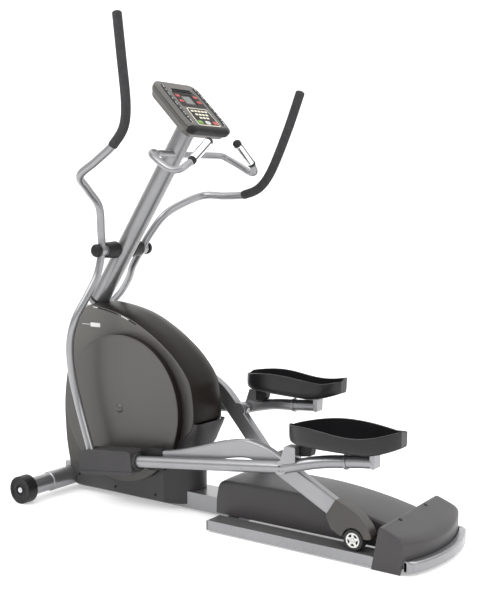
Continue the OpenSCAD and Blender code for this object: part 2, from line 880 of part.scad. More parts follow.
// Box-shaped shroud round the knuckle, open above and below for the handlebar's foot
module knuckle_shroud_body() {
    lean = atan(tube_rise);
    translate([knuckle_x, 0, knuckle_z]) rotate([0, -lean, 0]) difference() {
        translate([0, -164, 0]) rotate([90, 0, 0]) linear_extrude(70)
            polygon([[-34, -38], [-26, -48], [205, -48], [228, -36], [228, 34],
                     [215, 42], [60, 46], [-10, 44], [-34, 34]]);
        box([-29, -229, -60], [192, -169, 38]);
        box([-30, -229, 0], [34, -169, 60]);
        translate([190, -tube_y, 0]) rotate([0, 90, 0]) cylinder(r = tube_r + 0.5, h = 50);
    }
}

module knuckle_shroud_left() { color(dark_grey) at_crank() knuckle_shroud_body(); }
module knuckle_shroud_right() {
    color(dark_grey) at_crank() pedal_pose_right() knuckle_shroud_body();
}

// Foot tray: x along the foot from the toe, half widths and rim heights along it
pedal_x0 = 806;
pedal_len = 406;
pedal_y = 180;
pedal_z = 363;

module pedal_body() {
    n = 22;
    function half_w(t) = 86 * pow(max(1 - pow(abs(2 * t - 1), 2.8), 0.0), 1 / 2.3);
    function floor_z(t) = pedal_z + (t > 0.72 ? 240 * pow(t - 0.72, 1.6) : 0)
                                  + (t < 0.12 ? 60 * (0.12 - t) : 0);
    function rim_out(t) = 424 + 7 * sin(360 * (t * 1.15 - 0.02)) + 20 * pow(t, 5);
    function rim_in(t) = 416 + 24 * sin(180 * min(t * 1.15 + 0.02, 1)) + 24 * pow(t, 4);
    rings = [for (k = [0 : n])
        let (t = 0.004 + 0.992 * (1 - cos(180 * k / n)) / 2, w = half_w(t) + 2,
             x = pedal_x0 + pedal_len * t, b = floor_z(t), wi = max(w - 7, 0.6),
             deep = (k < 2 || k > n - 2) ? 0 : 1,
             top_o = rim_out(t), top_i = rim_in(t),
             f = b + 12,
             fo = deep == 1 ? f : top_o - 1, fi = deep == 1 ? f : top_i - 1)
        [[x, -pedal_y - w * 0.86, b], [x, -pedal_y - w * 0.98, b + 12],
         [x, -pedal_y - w, b + 24], [x, -pedal_y - w * 0.99, top_o],
         [x, -pedal_y - wi * 0.985, top_o], [x, -pedal_y - wi * 0.96, fo],
         [x, -pedal_y, (fo + fi) / 2], [x, -pedal_y + wi * 0.96, fi],
         [x, -pedal_y + wi * 0.985, top_i], [x, -pedal_y + w * 0.99, top_i],
         [x, -pedal_y + w, b + 24], [x, -pedal_y + w * 0.98, b + 12],
         [x, -pedal_y + w * 0.86, b]]];
    loft(rings);
    y_slab([[846, 316], [884, 322], [892, 364], [846, 368]], -194, -166);
    y_slab([[866, 364], [900, 364], [900, 366], [866, 366]], -200, -160);
}

module pedal_left() { color(black) at_crank() pedal_body(); }
module pedal_right() { color(black) at_crank() pedal_pose_right() pedal_body(); }

// Handlebar: pivot in the middle, foot at the knuckle, foam grip at the top
bar_points = [[252, -160, 687], [270, -160, 525], [257, -159, 440], [211, -162, 382],
    [129, -166, 325], [49, -160, 277], [24, -95, 228], [12, -24, 165], [2, -4, 70],
    [0, 0, 0], [-12, -12, -90], [-28, -48, -165], [-58, -86, -255], [-84, -91, -350],
    [-84, -84, -460], [-57, -73, -597], [10, -73, -788]];
foam_points = [[229, -154, 834], [252, -160, 687], [270, -160, 525], [257, -159, 440],
    [211, -162, 382]];
foam_end = 3 * 5;

function from_pivot(p) = [for (q = p) [pivot_x + q[0], -bar_y + q[1], pivot_z + q[2]]];

bar_curve = curve(from_pivot(bar_points), 5);
foam_line = curve(from_pivot(foam_points), 6);
seam_dir = unit(bar_curve[foam_end + 1] - bar_curve[foam_end]);
foam_curve = concat([for (i = [0 : len(foam_line) - 2]) foam_line[i]],
                    [bar_curve[foam_end] - 5 * seam_dir, bar_curve[foam_end] - 0.1 * seam_dir]);

module swing_arm_body() {
    difference() {
        union() {
            sweep([for (i = [foam_end : len(bar_curve) - 1]) bar_curve[i]], bar_d / 2, 14);
            y_rod(pivot_x, pivot_z, 22, -bar_y - 15.4, -bar_y + 14.8);
            y_rod(knuckle_x, knuckle_z, 19, -low_bar_y - 9, -low_bar_y + 9);
        }
        y_rod(pivot_x, pivot_z, 12.06, -bar_y - 20, -bar_y + 20);
        y_rod(knuckle_x, knuckle_z, 8.05, -low_bar_y - 15, -low_bar_y + 15);
    }
}

module swing_arm_left() { color(steel) at_crank() swing_arm_body(); }
module swing_arm_right() { color(steel) at_crank() swing_pose_right() swing_arm_body(); }

module foam_grip_body() {
    sweep(foam_curve, foam_d / 2, 16);
    translate(foam_curve[0]) sphere(r = foam_d / 2 - 0.6, $fn = 24);
}

module foam_grip_left() { color(dark_grey) at_crank() foam_grip_body(); }
module foam_grip_right() {
    color(dark_grey) at_crank() swing_pose_right() foam_grip_body();
}

main_frame();
front_stabiliser();
console_mast();
side_shell_left();
side_shell_right();
spine_cover();
lower_shroud();
rear_cowl();
frame_screws();
power_inlet();
ramp_frame();
rail_tracks();
centre_cover();
rear_cover();
rear_bumper();
ramp_feet();
handlebar_pivot();
pivot_covers();
console_bracket();
console_shell();
console_face();
console_display();
fixed_handlebar();
pulse_grips();
crank_bearings();
magnetic_brake();
drive_belt();
idler_arm();
roller_left();
roller_right();
crank_axle();
drive_pulley();
crank_arms();
crank_disc_left();
crank_disc_right();
flywheel();
idler_roller();
connecting_arm_left();
connecting_arm_right();
arm_end_cover_left();
arm_end_cover_right();
wheel_cover_left();
wheel_cover_right();
slide_wheel_left();
slide_wheel_right();
wheel_axle_left();
wheel_axle_right();
pedal_arm_left();
pedal_arm_right();
knuckle_shroud_left();
knuckle_shroud_right();
pedal_left();
pedal_right();
swing_arm_left();
swing_arm_right();
foam_grip_left();
foam_grip_right();
start_key();
stop_key();
level_key();
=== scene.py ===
"""Visual model of the front-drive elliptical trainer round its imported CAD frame.

Shapes are written in millimetres about the crank axle's plane, as the CAD is: X to the rear,
-Y the user's left, Z up. add() moves them to the row frame in metres. The linkage is written
on the left side, and a pose function turns it into the right side's rest pose.
"""

import json
import math

import bmesh
import bpy
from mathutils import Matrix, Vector


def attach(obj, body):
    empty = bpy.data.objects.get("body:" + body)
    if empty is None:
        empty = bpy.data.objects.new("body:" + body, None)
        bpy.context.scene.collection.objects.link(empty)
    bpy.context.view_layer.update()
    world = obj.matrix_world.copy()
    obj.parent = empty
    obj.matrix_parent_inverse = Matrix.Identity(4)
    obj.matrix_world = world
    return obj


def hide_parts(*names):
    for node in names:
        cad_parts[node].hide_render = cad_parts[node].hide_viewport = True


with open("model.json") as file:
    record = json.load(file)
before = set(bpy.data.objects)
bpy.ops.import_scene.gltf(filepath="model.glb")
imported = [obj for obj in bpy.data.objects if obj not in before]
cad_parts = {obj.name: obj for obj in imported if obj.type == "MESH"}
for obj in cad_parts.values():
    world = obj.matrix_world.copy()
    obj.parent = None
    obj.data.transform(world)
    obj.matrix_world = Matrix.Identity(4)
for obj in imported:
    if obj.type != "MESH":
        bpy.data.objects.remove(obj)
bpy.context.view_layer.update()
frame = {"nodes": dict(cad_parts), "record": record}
scene = bpy.context.scene


def cosd(degrees):
    return math.cos(math.radians(degrees))


def sind(degrees):
    return math.sin(math.radians(degrees))


def arc(x, z, r, degrees):
    """Points at those angles on a circle of radius r round x, z."""
    return [(x + r * cosd(a), z + r * sind(a)) for a in degrees]


# ---------- camera ----------

CAMERA_AT = (2.1698, -2.9675, 1.15)
CAMERA_AZIMUTH = 34.505
CAMERA_PITCH = 5.3695
CAMERA_LENS = 61.89

camera_data = bpy.data.cameras.new("camera")
camera_data.lens = CAMERA_LENS
camera_data.sensor_width = 36
camera = bpy.data.objects.new("camera", camera_data)
camera.location = CAMERA_AT
camera.rotation_euler = (math.radians(90 - CAMERA_PITCH), 0, math.radians(CAMERA_AZIMUTH))
scene.collection.objects.link(camera)
scene.camera = camera

# ---------- linkage values, as in the CAD ----------

CRANK_X = -382.6
CRANK_R, AXLE_Z, PIN_DEG = 250, 366, -37
WHEEL_Z, ARM_LEN = 76.5, 858
PEDAL_TILT, SWING = 2.2, 32.3
HINGE_X, HINGE_Z = 780, 272
PIVOT_X, PIVOT_Z = -88.5, 960
KNUCKLE_X, KNUCKLE_Z = PIVOT_X + 10, PIVOT_Z - 788
BAR_Y = 117
SHELL_Y = 88
STAB_X, ROLLER_R = -305, 52.5
STAB_HOLE_R = 39.5
BAR_R, FOAM_R, FIXED_BAR_R, PULSE_R = 15, 17.4, 12.5, 15.6
MAST_R, PEDAL_TUBE_R = 37, 21
ARM_DEPTH = 62

pin_x = CRANK_R * cosd(PIN_DEG)
pin_z = AXLE_Z + CRANK_R * sind(PIN_DEG)
pin2_z = 2 * AXLE_Z - pin_z
wheel_x = pin_x + math.sqrt(ARM_LEN ** 2 - (pin_z - WHEEL_Z) ** 2)
wheel2_x = -pin_x + math.sqrt(ARM_LEN ** 2 - (pin2_z - WHEEL_Z) ** 2)
stride = wheel_x - wheel2_x
arm_tilt = math.degrees(
    math.asin((pin2_z - WHEEL_Z) / ARM_LEN) - math.asin((pin_z - WHEEL_Z) / ARM_LEN))
tube_rise = (HINGE_Z - KNUCKLE_Z) / (HINGE_X - KNUCKLE_X)


def turned(p, x, z, degrees):
    c, s = cosd(degrees), sind(degrees)
    dx, dz = p[0] - x, p[2] - z
    return (x + dx * c + dz * s, p[1], z - dx * s + dz * c)


def fixed(p):
    return p


def mirrored(p):
    return (p[0], -p[1], p[2])


SIDES = (("left", fixed), ("right", mirrored))


def rolled(p):
    return (p[0] - stride, -p[1], p[2])


def arm_pose(p):
    return rolled(turned(p, wheel_x, WHEEL_Z, arm_tilt))


def pedal_pose(p):
    return arm_pose(turned(p, HINGE_X, HINGE_Z, PEDAL_TILT - arm_tilt))


def swing_pose(p):
    return mirrored(turned(p, PIVOT_X, PIVOT_Z, SWING))


def on_console(p):
    """Console frame: X down the slope to the user, Z out of the face."""
    k = math.sqrt(0.5)
    return (266.5 + k * (p[0] + p[2]), p[1], 1488.5 + k * (p[2] - p[0]))


# ---------- shapes: each returns (vertices, faces) ----------


def curve(points, n):
    """Catmull-Rom curve through the points, with n steps in each span."""
    ps = [Vector(p) for p in points]
    out = []
    for i in range(len(ps) - 1):
        a, b, c, d = ps[max(i - 1, 0)], ps[i], ps[i + 1], ps[min(i + 2, len(ps) - 1)]
        for k in range(n):
            t = k / n
            out.append(0.5 * (2 * b + (c - a) * t + (2 * a - 5 * b + 4 * c - d) * t * t
                              + (3 * b - a - 3 * c + d) * t ** 3))
    return out + [ps[-1]]


def offset(points, d):
    """2D line moved by d to the left of its direction of travel."""
    out = []
    for i, p in enumerate(points):
        a, b = points[max(i - 1, 0)], points[min(i + 1, len(points) - 1)]
        t = Vector((b[0] - a[0], b[1] - a[1])).normalized()
        out.append((p[0] - d * t.y, p[1] + d * t.x))
    return out


def between(low, high):
    """Solid between two matching outlines."""
    n = len(low)
    faces = [list(range(n)), list(range(2 * n - 1, n - 1, -1))]
    faces += [[i, (i + 1) % n, n + (i + 1) % n, n + i] for i in range(n)]
    return low + high, faces


def prism(points, y0, y1):
    """Outline in X and Z between two Y values."""
    return between([(p[0], y0, p[1]) for p in points], [(p[0], y1, p[1]) for p in points])


def slab(points, z0, z1):
    """Outline in X and Y between two Z values."""
    return between([(p[0], p[1], z0) for p in points], [(p[0], p[1], z1) for p in points])


def block(low, high):
    x0, y0, z0 = low
    x1, y1, z1 = high
    return prism([(x0, z0), (x1, z0), (x1, z1), (x0, z1)], y0, y1)


def loft(rings):
    """Skin over matching closed rings, with both ends capped."""
    n = len(rings[0])
    verts = [tuple(p) for r in rings for p in r]
    faces = []
    for i in range(len(rings) - 1):
        a, b = i * n, (i + 1) * n
        faces += [[a + j, a + (j + 1) % n, b + (j + 1) % n, b + j] for j in range(n)]
    faces += [list(range(n - 1, -1, -1)), [(len(rings) - 1) * n + j for j in range(n)]]
    return verts, faces


def circle(r, n):
    return [(r * math.cos(2 * math.pi * k / n), r * math.sin(2 * math.pi * k / n))
            for k in range(n)]


def round_rect(w, h, r, n=4):
    out = []
    for c, (sx, sy) in enumerate(((1, 1), (-1, 1), (-1, -1), (1, -1))):
        for k in range(n + 1):
            a = math.pi / 2 * (c + k / n)
            out.append((sx * (w / 2 - r) + r * math.cos(a), sy * (h / 2 - r) + r * math.sin(a)))
    return out


def rect_at(x, y, w, h, r, n=4):
    return [(x + u, y + v) for u, v in round_rect(w, h, r, n)]


def sweep(path, section, sizes=None):
    """Section swept along a 3D path without twist, scaled by sizes."""
    pts = [Vector(p) for p in path]
    m = len(pts)
    rings = []
    side = Vector((0, 1, 0.001))
    for i, p in enumerate(pts):
        t = (pts[min(i + 1, m - 1)] - pts[max(i - 1, 0)]).normalized()
        side = (side - side.dot(t) * t).normalized()
        up = side.cross(t)
        k = sizes[i] if sizes else 1
        rings.append([p + k * (a * side + b * up) for a, b in section])
    return loft(rings)


def tube(path, r, n=28, ends=0):
    """Round tube; with ends its two ends are rounded over that length."""
    pts = [Vector(p) for p in path]
    if not ends:
        return sweep(pts, circle(r, n))
    first, last = (pts[1] - pts[0]).normalized(), (pts[-1] - pts[-2]).normalized()
    steps = [0, 0.06, 0.2, 0.42, 0.7]
    head = [pts[0] + first * ends * (s - 1) for s in steps]
    tail = [pts[-1] + last * ends * (1 - s) for s in reversed(steps)]
    grow = [max(0.04, math.sqrt(1 - (1 - s) ** 2)) for s in steps]
    return sweep(head + pts + tail, circle(r, n), grow + [1] * len(pts) + grow[::-1])


def lathe(profile, x, z, n=72):
    """Profile of (radius, y) turned about the Y axis through x, z."""
    rings = [[(x + max(r, 0) * math.cos(2 * math.pi * k / n), y,
               z + max(r, 0) * math.sin(2 * math.pi * k / n)) for k in range(n)]
             for r, y in profile]
    return loft(rings)


def rod(r, y0, y1, x, z, n=48):
    """Plain round bar along Y, also the tool for a round hole."""
    return lathe([(0, y0), (r, y0), (r, y1), (0, y1)], x, z, n)


def eased(points, r, n=4):
    """Line of 2D points with its inner corners rounded to about radius r."""
    out = [points[0]]
    for a, b, c in zip(points, points[1:], points[2:]):
        a, b, c = Vector(a), Vector(b), Vector(c)
        d = min(r, (a - b).length * 0.45, (c - b).length * 0.45)
        p, q = b + (a - b).normalized() * d, b + (c - b).normalized() * d
        for k in range(n + 1):
            t = k / n
            out.append(tuple((1 - t) ** 2 * p + 2 * t * (1 - t) * b + t * t * q))
    return out + [points[-1]]


def eased_loop(points, r, n=4):
    """Closed outline with every corner rounded."""
    line = eased([points[-1]] + list(points) + [points[0]], r, n)
    return line[1:-1]


def joined(*shapes):
    verts, faces = [], []
    for v, f in shapes:
        faces += [[i + len(verts) for i in face] for face in f]
        verts += list(v)
    return verts, faces


def moved(shape, pose):
    return [pose(p) for p in shape[0]], shape[1]


def make_object(name, shape, pose=fixed):
    me = bpy.data.meshes.new(name)
    me.from_pydata([((q[0] + CRANK_X) / 1000, q[1] / 1000, q[2] / 1000)
                    for q in map(pose, shape[0])], [], shape[1])
    bm = bmesh.new()
    bm.from_mesh(me)
    bmesh.ops.remove_doubles(bm, verts=bm.verts, dist=2e-6)
    bmesh.ops.recalc_face_normals(bm, faces=bm.faces)
    bm.to_mesh(me)
    bm.free()
    obj = bpy.data.objects.new(name, me)
    scene.collection.objects.link(obj)
    return obj


def add(name, shape, mat, body, nodes=(), slot=None, pose=fixed, bevel=0, steps=3, sharp=35,
        cuts=(), limit=28):
    """Makes a piece: cuts are taken out of the shape, then sharp edges get a bevel in mm.

    body is the CAD body it moves with, nodes the CAD node it stands for, if any. slot is not used.
    Edges over limit degrees are bevelled, and edges over sharp degrees stay sharp in the shading.
    """
    obj = make_object(name, shape, pose)
    for i, c in enumerate(cuts):
        tool = make_object(f"{name}_cut{i}", c, pose)
        m = obj.modifiers.new("cut", "BOOLEAN")
        m.operation, m.solver, m.object = "DIFFERENCE", "EXACT", tool
        bpy.context.view_layer.update()
        done = bpy.data.meshes.new_from_object(
            obj.evaluated_get(bpy.context.evaluated_depsgraph_get()))
        obj.modifiers.clear()
        obj.data = done
        bpy.data.objects.remove(tool)
    bm = bmesh.new()
    bm.from_mesh(obj.data)
    if cuts:
        bmesh.ops.remove_doubles(bm, verts=bm.verts, dist=1e-5)
    if bevel:
        edges = [e for e in bm.edges if len(e.link_faces) == 2
                 and e.calc_face_angle(0) > math.radians(limit)]
        bmesh.ops.bevel(bm, geom=edges, offset=bevel / 1000, offset_type="OFFSET",
                        segments=steps, profile=0.5, affect="EDGES", clamp_overlap=True)
    for f in bm.faces:
        f.smooth = True
    bm.to_mesh(obj.data)
    bm.free()
    obj.data.set_sharp_from_angle(angle=math.radians(sharp))
    obj.modifiers.new("normals", "WEIGHTED_NORMAL").keep_sharp = True
    obj.data.materials.clear()
    obj.data.materials.append(mat)
    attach(obj, body)
    if nodes:
        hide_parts(nodes)
    return obj


# ---------- materials ----------


def shader_node(tree, kind, values, sources):
    """New node with input values set, and sockets of other nodes linked to its inputs."""
    node = tree.nodes.new(kind)
    for name, value in values.items():
        node.inputs[name].default_value = value
    for name, socket in sources.items():
        tree.links.new(socket, node.inputs[name])
    return node


# Heights in metres over which painted shade darkens a colour towards the floor.
PAINTED_SHADE_LOW_Z, PAINTED_SHADE_TOP_Z = 0.1, 0.72


def material(name, color, rough, metal=0.0, coat=0.0, mottle=0.12, mottle_scale=9.0,
             grain=0.0, grain_scale=600.0, stretch=(1, 1, 1), rough_var=0.08, coat_rough=0.1,
             specular=0.5, painted_shade_low=None):
    """Procedural finish: broad tone variation, fine grain in bump and uneven roughness.

    painted_shade_low paints shade: it is the share of the colour left near the floor, rising to
    all of it higher up.
    """
    mat = bpy.data.materials.new(name)
    mat.use_nodes = True
    nt = mat.node_tree
    bsdf = nt.nodes["Principled BSDF"]
    bsdf.inputs["Metallic"].default_value = metal
    bsdf.inputs["Coat Weight"].default_value = coat
    bsdf.inputs["Coat Roughness"].default_value = coat_rough
    bsdf.inputs["Specular IOR Level"].default_value = specular
    place = nt.nodes.new("ShaderNodeTexCoord").outputs["Object"]
    mapping = shader_node(nt, "ShaderNodeMapping", {"Scale": stretch}, {"Vector": place})
    broad = shader_node(nt, "ShaderNodeTexNoise", {"Scale": mottle_scale, "Detail": 4},
                        {"Vector": place})
    ramp = shader_node(nt, "ShaderNodeValToRGB", {}, {"Fac": broad.outputs["Fac"]})
    dark, light = ramp.color_ramp.elements
    dark.position, light.position = 0.3, 0.7
    dark.color = [c * (1 - mottle) for c in color] + [1]
    light.color = [min(c * (1 + mottle), 1) for c in color] + [1]
    tone = ramp.outputs["Color"]
    # Painted shade: the colour is scaled down towards the floor by the object's height.
    if painted_shade_low:
        height = shader_node(nt, "ShaderNodeSeparateXYZ", {}, {"Vector": place})
        share = shader_node(nt, "ShaderNodeMapRange",
                            {"From Min": PAINTED_SHADE_LOW_Z, "From Max": PAINTED_SHADE_TOP_Z,
                             "To Min": painted_shade_low, "To Max": 1}, {"Value": height.outputs["Z"]})
        shade = nt.nodes.new("ShaderNodeVectorMath")
        shade.operation = "SCALE"
        nt.links.new(tone, shade.inputs[0])
        nt.links.new(share.outputs["Result"], shade.inputs["Scale"])
        tone = shade.outputs["Vector"]
    nt.links.new(tone, bsdf.inputs["Base Color"])
    fine = shader_node(nt, "ShaderNodeTexNoise", {"Scale": grain_scale, "Detail": 3},
                       {"Vector": mapping.outputs["Vector"]})
    spread = shader_node(nt, "ShaderNodeMapRange",
                         {"To Min": max(rough - rough_var, 0.02),
                          "To Max": min(rough + rough_var, 1)}, {"Value": fine.outputs["Fac"]})
    nt.links.new(spread.outputs["Result"], bsdf.inputs["Roughness"])
    if grain:
        bump = shader_node(nt, "ShaderNodeBump", {"Strength": grain, "Distance": 0.0004},
                           {"Height": fine.outputs["Fac"]})
        nt.links.new(bump.outputs["Normal"], bsdf.inputs["Normal"])
    return mat


SILVER = material("silver paint", (0.27, 0.27, 0.278), 0.29, metal=0.75, coat=0.22,
                  mottle=0.05, grain=0.12, grain_scale=1800)
MAST = material("mast paint", (0.24, 0.24, 0.245), 0.32, metal=0.75, coat=0.2, mottle=0.05,
                grain=0.12, grain_scale=1800)
STEEL = material("bare steel", (0.55, 0.55, 0.56), 0.3, metal=1.0, mottle=0.08,
                 grain=0.25, grain_scale=500, stretch=(1, 12, 1))
CHROME = material("polished contact", (0.82, 0.82, 0.83), 0.12, metal=1.0, mottle=0.03,
                  grain=0.05, grain_scale=300, rough_var=0.04)
TITANIUM = {"metal": 0.35, "coat": 0.1, "mottle_scale": 3, "grain": 0.1, "grain_scale": 2400}
# Painted shade: the panel colour darkens towards the floor, down to 0.34 of it at the bottom.
PANEL = material("titanium panel", (0.106, 0.101, 0.093), 0.42, mottle=0.06,
                 coat_rough=0.25, painted_shade_low=0.34, **TITANIUM)
# Painted shade: the disc colour darkens towards the floor, and this painted shade turns with the
# disc.
DISC = material("titanium disc", (0.086, 0.082, 0.076), 0.38, mottle=0.05,
                coat_rough=0.22, painted_shade_low=0.6, **TITANIUM)
GLOSS = material("gloss black", (0.010, 0.008, 0.0065), 0.34, mottle=0.2,
                 mottle_scale=5, grain=0.05, grain_scale=900, specular=0.12)
FIN = material("fin plastic", (0.034, 0.030, 0.026), 0.40, coat=0.2, mottle=0.15,
               grain=0.1, grain_scale=1200, coat_rough=0.2)
DARK = material("dark plastic", (0.036, 0.034, 0.036), 0.44, mottle=0.08, grain=0.35,
                grain_scale=1500, specular=0.28)
COVER = material("ramp plastic", (0.044, 0.041, 0.043), 0.38, mottle=0.06, grain=0.3,
                 grain_scale=1600, specular=0.35)
BLACK = material("black plastic", (0.010, 0.010, 0.011), 0.42, mottle=0.2, grain=0.3,
                 grain_scale=1300, specular=0.25)
PEDAL = material("pedal plastic", (0.008, 0.008, 0.009), 0.28, mottle=0.15, grain=0.45,
                 grain_scale=1100, specular=0.35)
# Painted shade: the shroud colour darkens slightly towards the floor.
SHROUD = material("shroud plastic", (0.070, 0.067, 0.068), 0.44, mottle=0.06, grain=0.3,
                  grain_scale=1500, specular=0.3, painted_shade_low=0.75)
FOAM = material("foam", (0.034, 0.033, 0.035), 0.85, mottle=0.2, mottle_scale=60, grain=0.9,
                grain_scale=950, rough_var=0.1, specular=0.3)
TYRE = material("tyre", (0.016, 0.016, 0.016), 0.7, mottle=0.25, grain=0.5, grain_scale=700)
TRACK = material("track", (0.070, 0.069, 0.070), 0.55, mottle=0.12, grain=0.5,
                 grain_scale=900, stretch=(0.2, 1, 1))
KEY_GRAIN = {"grain": 0.1, "grain_scale": 900}
LIGHT = material("light plastic", (0.62, 0.62, 0.60), 0.35, mottle=0.04, **KEY_GRAIN)
CREAM = material("cream key", (0.72, 0.69, 0.55), 0.45, mottle=0.04, **KEY_GRAIN)
RED = material("red key", (0.42, 0.035, 0.028), 0.4, mottle=0.08, **KEY_GRAIN)
GREEN = material("green key", (0.13, 0.30, 0.03), 0.4, mottle=0.08, **KEY_GRAIN)
LCD = material("display glass", (0.20, 0.215, 0.20), 0.15, mottle=0.1, mottle_scale=30,
               coat=0.6, grain=0.03, grain_scale=200)
IRON = material("cast wheel", (0.16, 0.16, 0.165), 0.5, metal=0.8, mottle=0.12, grain=0.4,
                grain_scale=700)
TRIM = material("bright trim", (0.62, 0.62, 0.61), 0.25, metal=0.9, mottle=0.04,
                grain=0.08, grain_scale=1200)

SLOT_LOOKS = {
    "frame_paint": SILVER, "mast_paint": MAST, "bare_steel": STEEL, "shell_grey": PANEL,
    "spine_black": GLOSS, "dark_plastic": DARK, "black_plastic": BLACK,
    "light_plastic": LIGHT, "track_rubber": TRACK, "foam": FOAM, "tyre": TYRE,
    "disc_paint": DISC, "cast_wheel": IRON, "display_glass": LCD, "green_key": GREEN,
    "red_key": RED, "grip_chrome": CHROME,
}
USUAL_SLOT = {look.name: slot for slot, look in SLOT_LOOKS.items()}
USUAL_SLOT.update({FIN.name: "spine_black", COVER.name: "dark_plastic",
                   SHROUD.name: "dark_plastic", PEDAL.name: "black_plastic",
                   CREAM.name: "light_plastic", TRIM.name: "grip_chrome"})

# ---------- front stabiliser and transport wheels ----------

TUBE_END = 306
half = [(0, -TUBE_END), (34, -TUBE_END), (34, -207), (38, -205)]
profile = half + [(r, -y) for r, y in reversed(half)]
add("stabiliser", lathe(eased(profile, 3), STAB_X, ROLLER_R), SILVER, "frame",
    "front_stabiliser")

for name, pose in SIDES:
    face = [(0, -346), (20, -346), (20, -352), (24, -352), (27, -350), (41, -350),
            (44, -352.5), (46, -355.8), (ROLLER_R - 0.3, -355.8), (ROLLER_R, -310),
            (46, -307.5), (16, -307.5), (12, -307.5), (0, -307.5)]
    shape = lathe(eased(face, 2.5), STAB_X, ROLLER_R)
    add(f"roller_{name}", shape, BLACK, f"front_roller_{name}", f"roller_{name}", pose=pose,
        sharp=40)
    bolt = joined(lathe(eased([(0, -354.5), (9, -354.5), (11, -352), (11, -346)], 1.5),
                        STAB_X, ROLLER_R, 32),
                  lathe([(0, -355.4), (5, -355.4), (5, -354)], STAB_X, ROLLER_R, 6))
    add(f"roller_bolt_{name}", bolt, STEEL, "frame", (), "black_plastic", pose=pose)

# ---------- housing ----------


def flat_curve(points, n):
    return [(p.x, p.y) for p in curve(points, n)]


outline_top = flat_curve([(-300, 106), (-318, 200), (-325, 340), (-312, 455), (-285, 570),
                          (-255, 655), (-225, 712), (-185, 741), (-110, 736), (0, 710),
                          (105, 661), (188, 607), (250, 553), (300, 487), (318, 410),
                          (320, 338)], 6)


def edge_strip(a, b, outer, inner, proud):
    """Strip along points a to b of the outline, between two distances inside it."""
    line = offset(outline_top, -outer)[a:b] + offset(outline_top, -inner)[a:b][::-1]
    return prism(line, -SHELL_Y - proud, -SHELL_Y + 3)


panel_line = outline_top + [(310, 308), (254, 258), (185, 175), (120, 106), (120, 100),
                            (-298, 100)]

for name, pose in SIDES:
    holes = [rod(30, -100, -50, 0, AXLE_Z),
             rod(STAB_HOLE_R, -120, -50, STAB_X, ROLLER_R)]
    add(f"side_shell_{name}", prism(panel_line, -SHELL_Y, -64), PANEL, "frame",
        f"side_shell_{name}", pose=pose, bevel=2.6, cuts=holes, limit=40)
    trim = [(x, -SHELL_Y + 1.3, z) for x, z in offset(outline_top[30:], 0.2)]
    add(f"panel_trim_{name}", tube(trim, 0.8, 10), PANEL, "frame", (), "grip_chrome", pose=pose)
    # Black strips stand for the two vent slots by the spine; their black is painted shade of the
    # slots' recesses.
    slot_shades = [edge_strip(a, b, 1.5, 7, 0.6) for a, b in ((46, 53), (55, 58))]
    tabs = [edge_strip(a, a + 3, 2.5, 6, 1.2) for a in (44, 53)]
    add(f"vent_slots_{name}", joined(*slot_shades), BLACK, "frame", pose=pose, bevel=0.5)
    add(f"vent_tabs_{name}", joined(*tabs), TRIM, "frame", pose=pose, bevel=0.5)
    plate = joined(block((-178, -SHELL_Y - 1.2, 661), (-128, -SHELL_Y + 2, 677)),
                   block((-224, -SHELL_Y - 0.5, 668), (-180, -SHELL_Y + 2, 670)))
    add(f"name_plate_{name}", plate, LIGHT, "frame", pose=pose, bevel=0.6)

# spine cover: crowned across its width, 3 mm deep below the outline
SPINE_Y, SPINE_CROWN = 83.5, 10.1
widths = [math.sin(math.pi / 2 * k / 12) for k in range(-12, 13)]
rings = []
for i in range(10, len(outline_top)):
    (x, z), a = outline_top[i], outline_top[max(i - 1, 0)]
    b = outline_top[min(i + 1, len(outline_top) - 1)]
    t = Vector((b[0] - a[0], b[1] - a[1])).normalized()
    ring = []
    for w in widths:
        h = 0.4 + SPINE_CROWN * (1 - abs(w) ** 3.2)
        ring.append((x - h * t.y, SPINE_Y * w, z + h * t.x))
    ring += [(x + 3 * t.y, (SPINE_Y - 1.5) * w, z - 3 * t.x) for w in reversed(widths)]
    rings.append(ring)
add("spine_cover", loft(rings), GLOSS, "frame", "spine_cover", sharp=50)

side_line = [(-300, 108), (-296, 60), (-293, 34), (-262, 24), (180, 24), (184, 166),
             (120, 108)]
front_wrap = prism([(-300, 104), (-293, 34), (-262, 24), (-255, 28), (-288, 38),
                    (-295, 104)], -SHELL_Y + 2, SHELL_Y - 2)
for name, pose in SIDES:
    cuts = [rod(STAB_HOLE_R, -120, -50, STAB_X, ROLLER_R)]
    if name == "right":
        cuts.append(block((-214, -92, 50), (-186, -76, 72)))
    shape = prism(side_line, -SHELL_Y + 0.2, -SHELL_Y + 6)
    add(f"lower_shroud_{name}", shape, SHROUD, "frame",
        "lower_shroud" if name == "left" else (), pose=pose, bevel=1.8, cuts=cuts)
add("lower_shroud_front", front_wrap, SHROUD, "frame", bevel=1.5,
    cuts=[rod(STAB_HOLE_R, -120, 120, STAB_X, ROLLER_R),
          block((-345, -81, 60), (-263, 81, 130)), block((-312, -59, 20), (-200, 59, 73))])

cowl_levels = [(73, 180.5, 300, 2), (110, 180.5, 300, 2), (166, 182, 300, 2.05),
               (215, 219, 305, 2.3), (256, 255, 326, 3), (306, 309, 338, 4),
               (330, 320, 346, 4.8), (336, 320, 348, 5)]


def cowl_rim(level, inset, n=30):
    z, back, nose, power = level
    out = []
    for k in range(-n, n + 1):
        s = math.sin(math.pi / 2 * k / n)
        c = max(1 - abs(s) ** power, 0) ** (1 / power)
        out.append((back + (nose - inset - back) * c, (SHELL_Y - inset) * s, z))
    return out


def cowl_shell(levels):
    return loft([cowl_rim(level, 0) + cowl_rim(level, 4)[::-1] for level in levels])


add("rear_cowl", cowl_shell(cowl_levels), DARK, "frame", "rear_cowl", sharp=40)

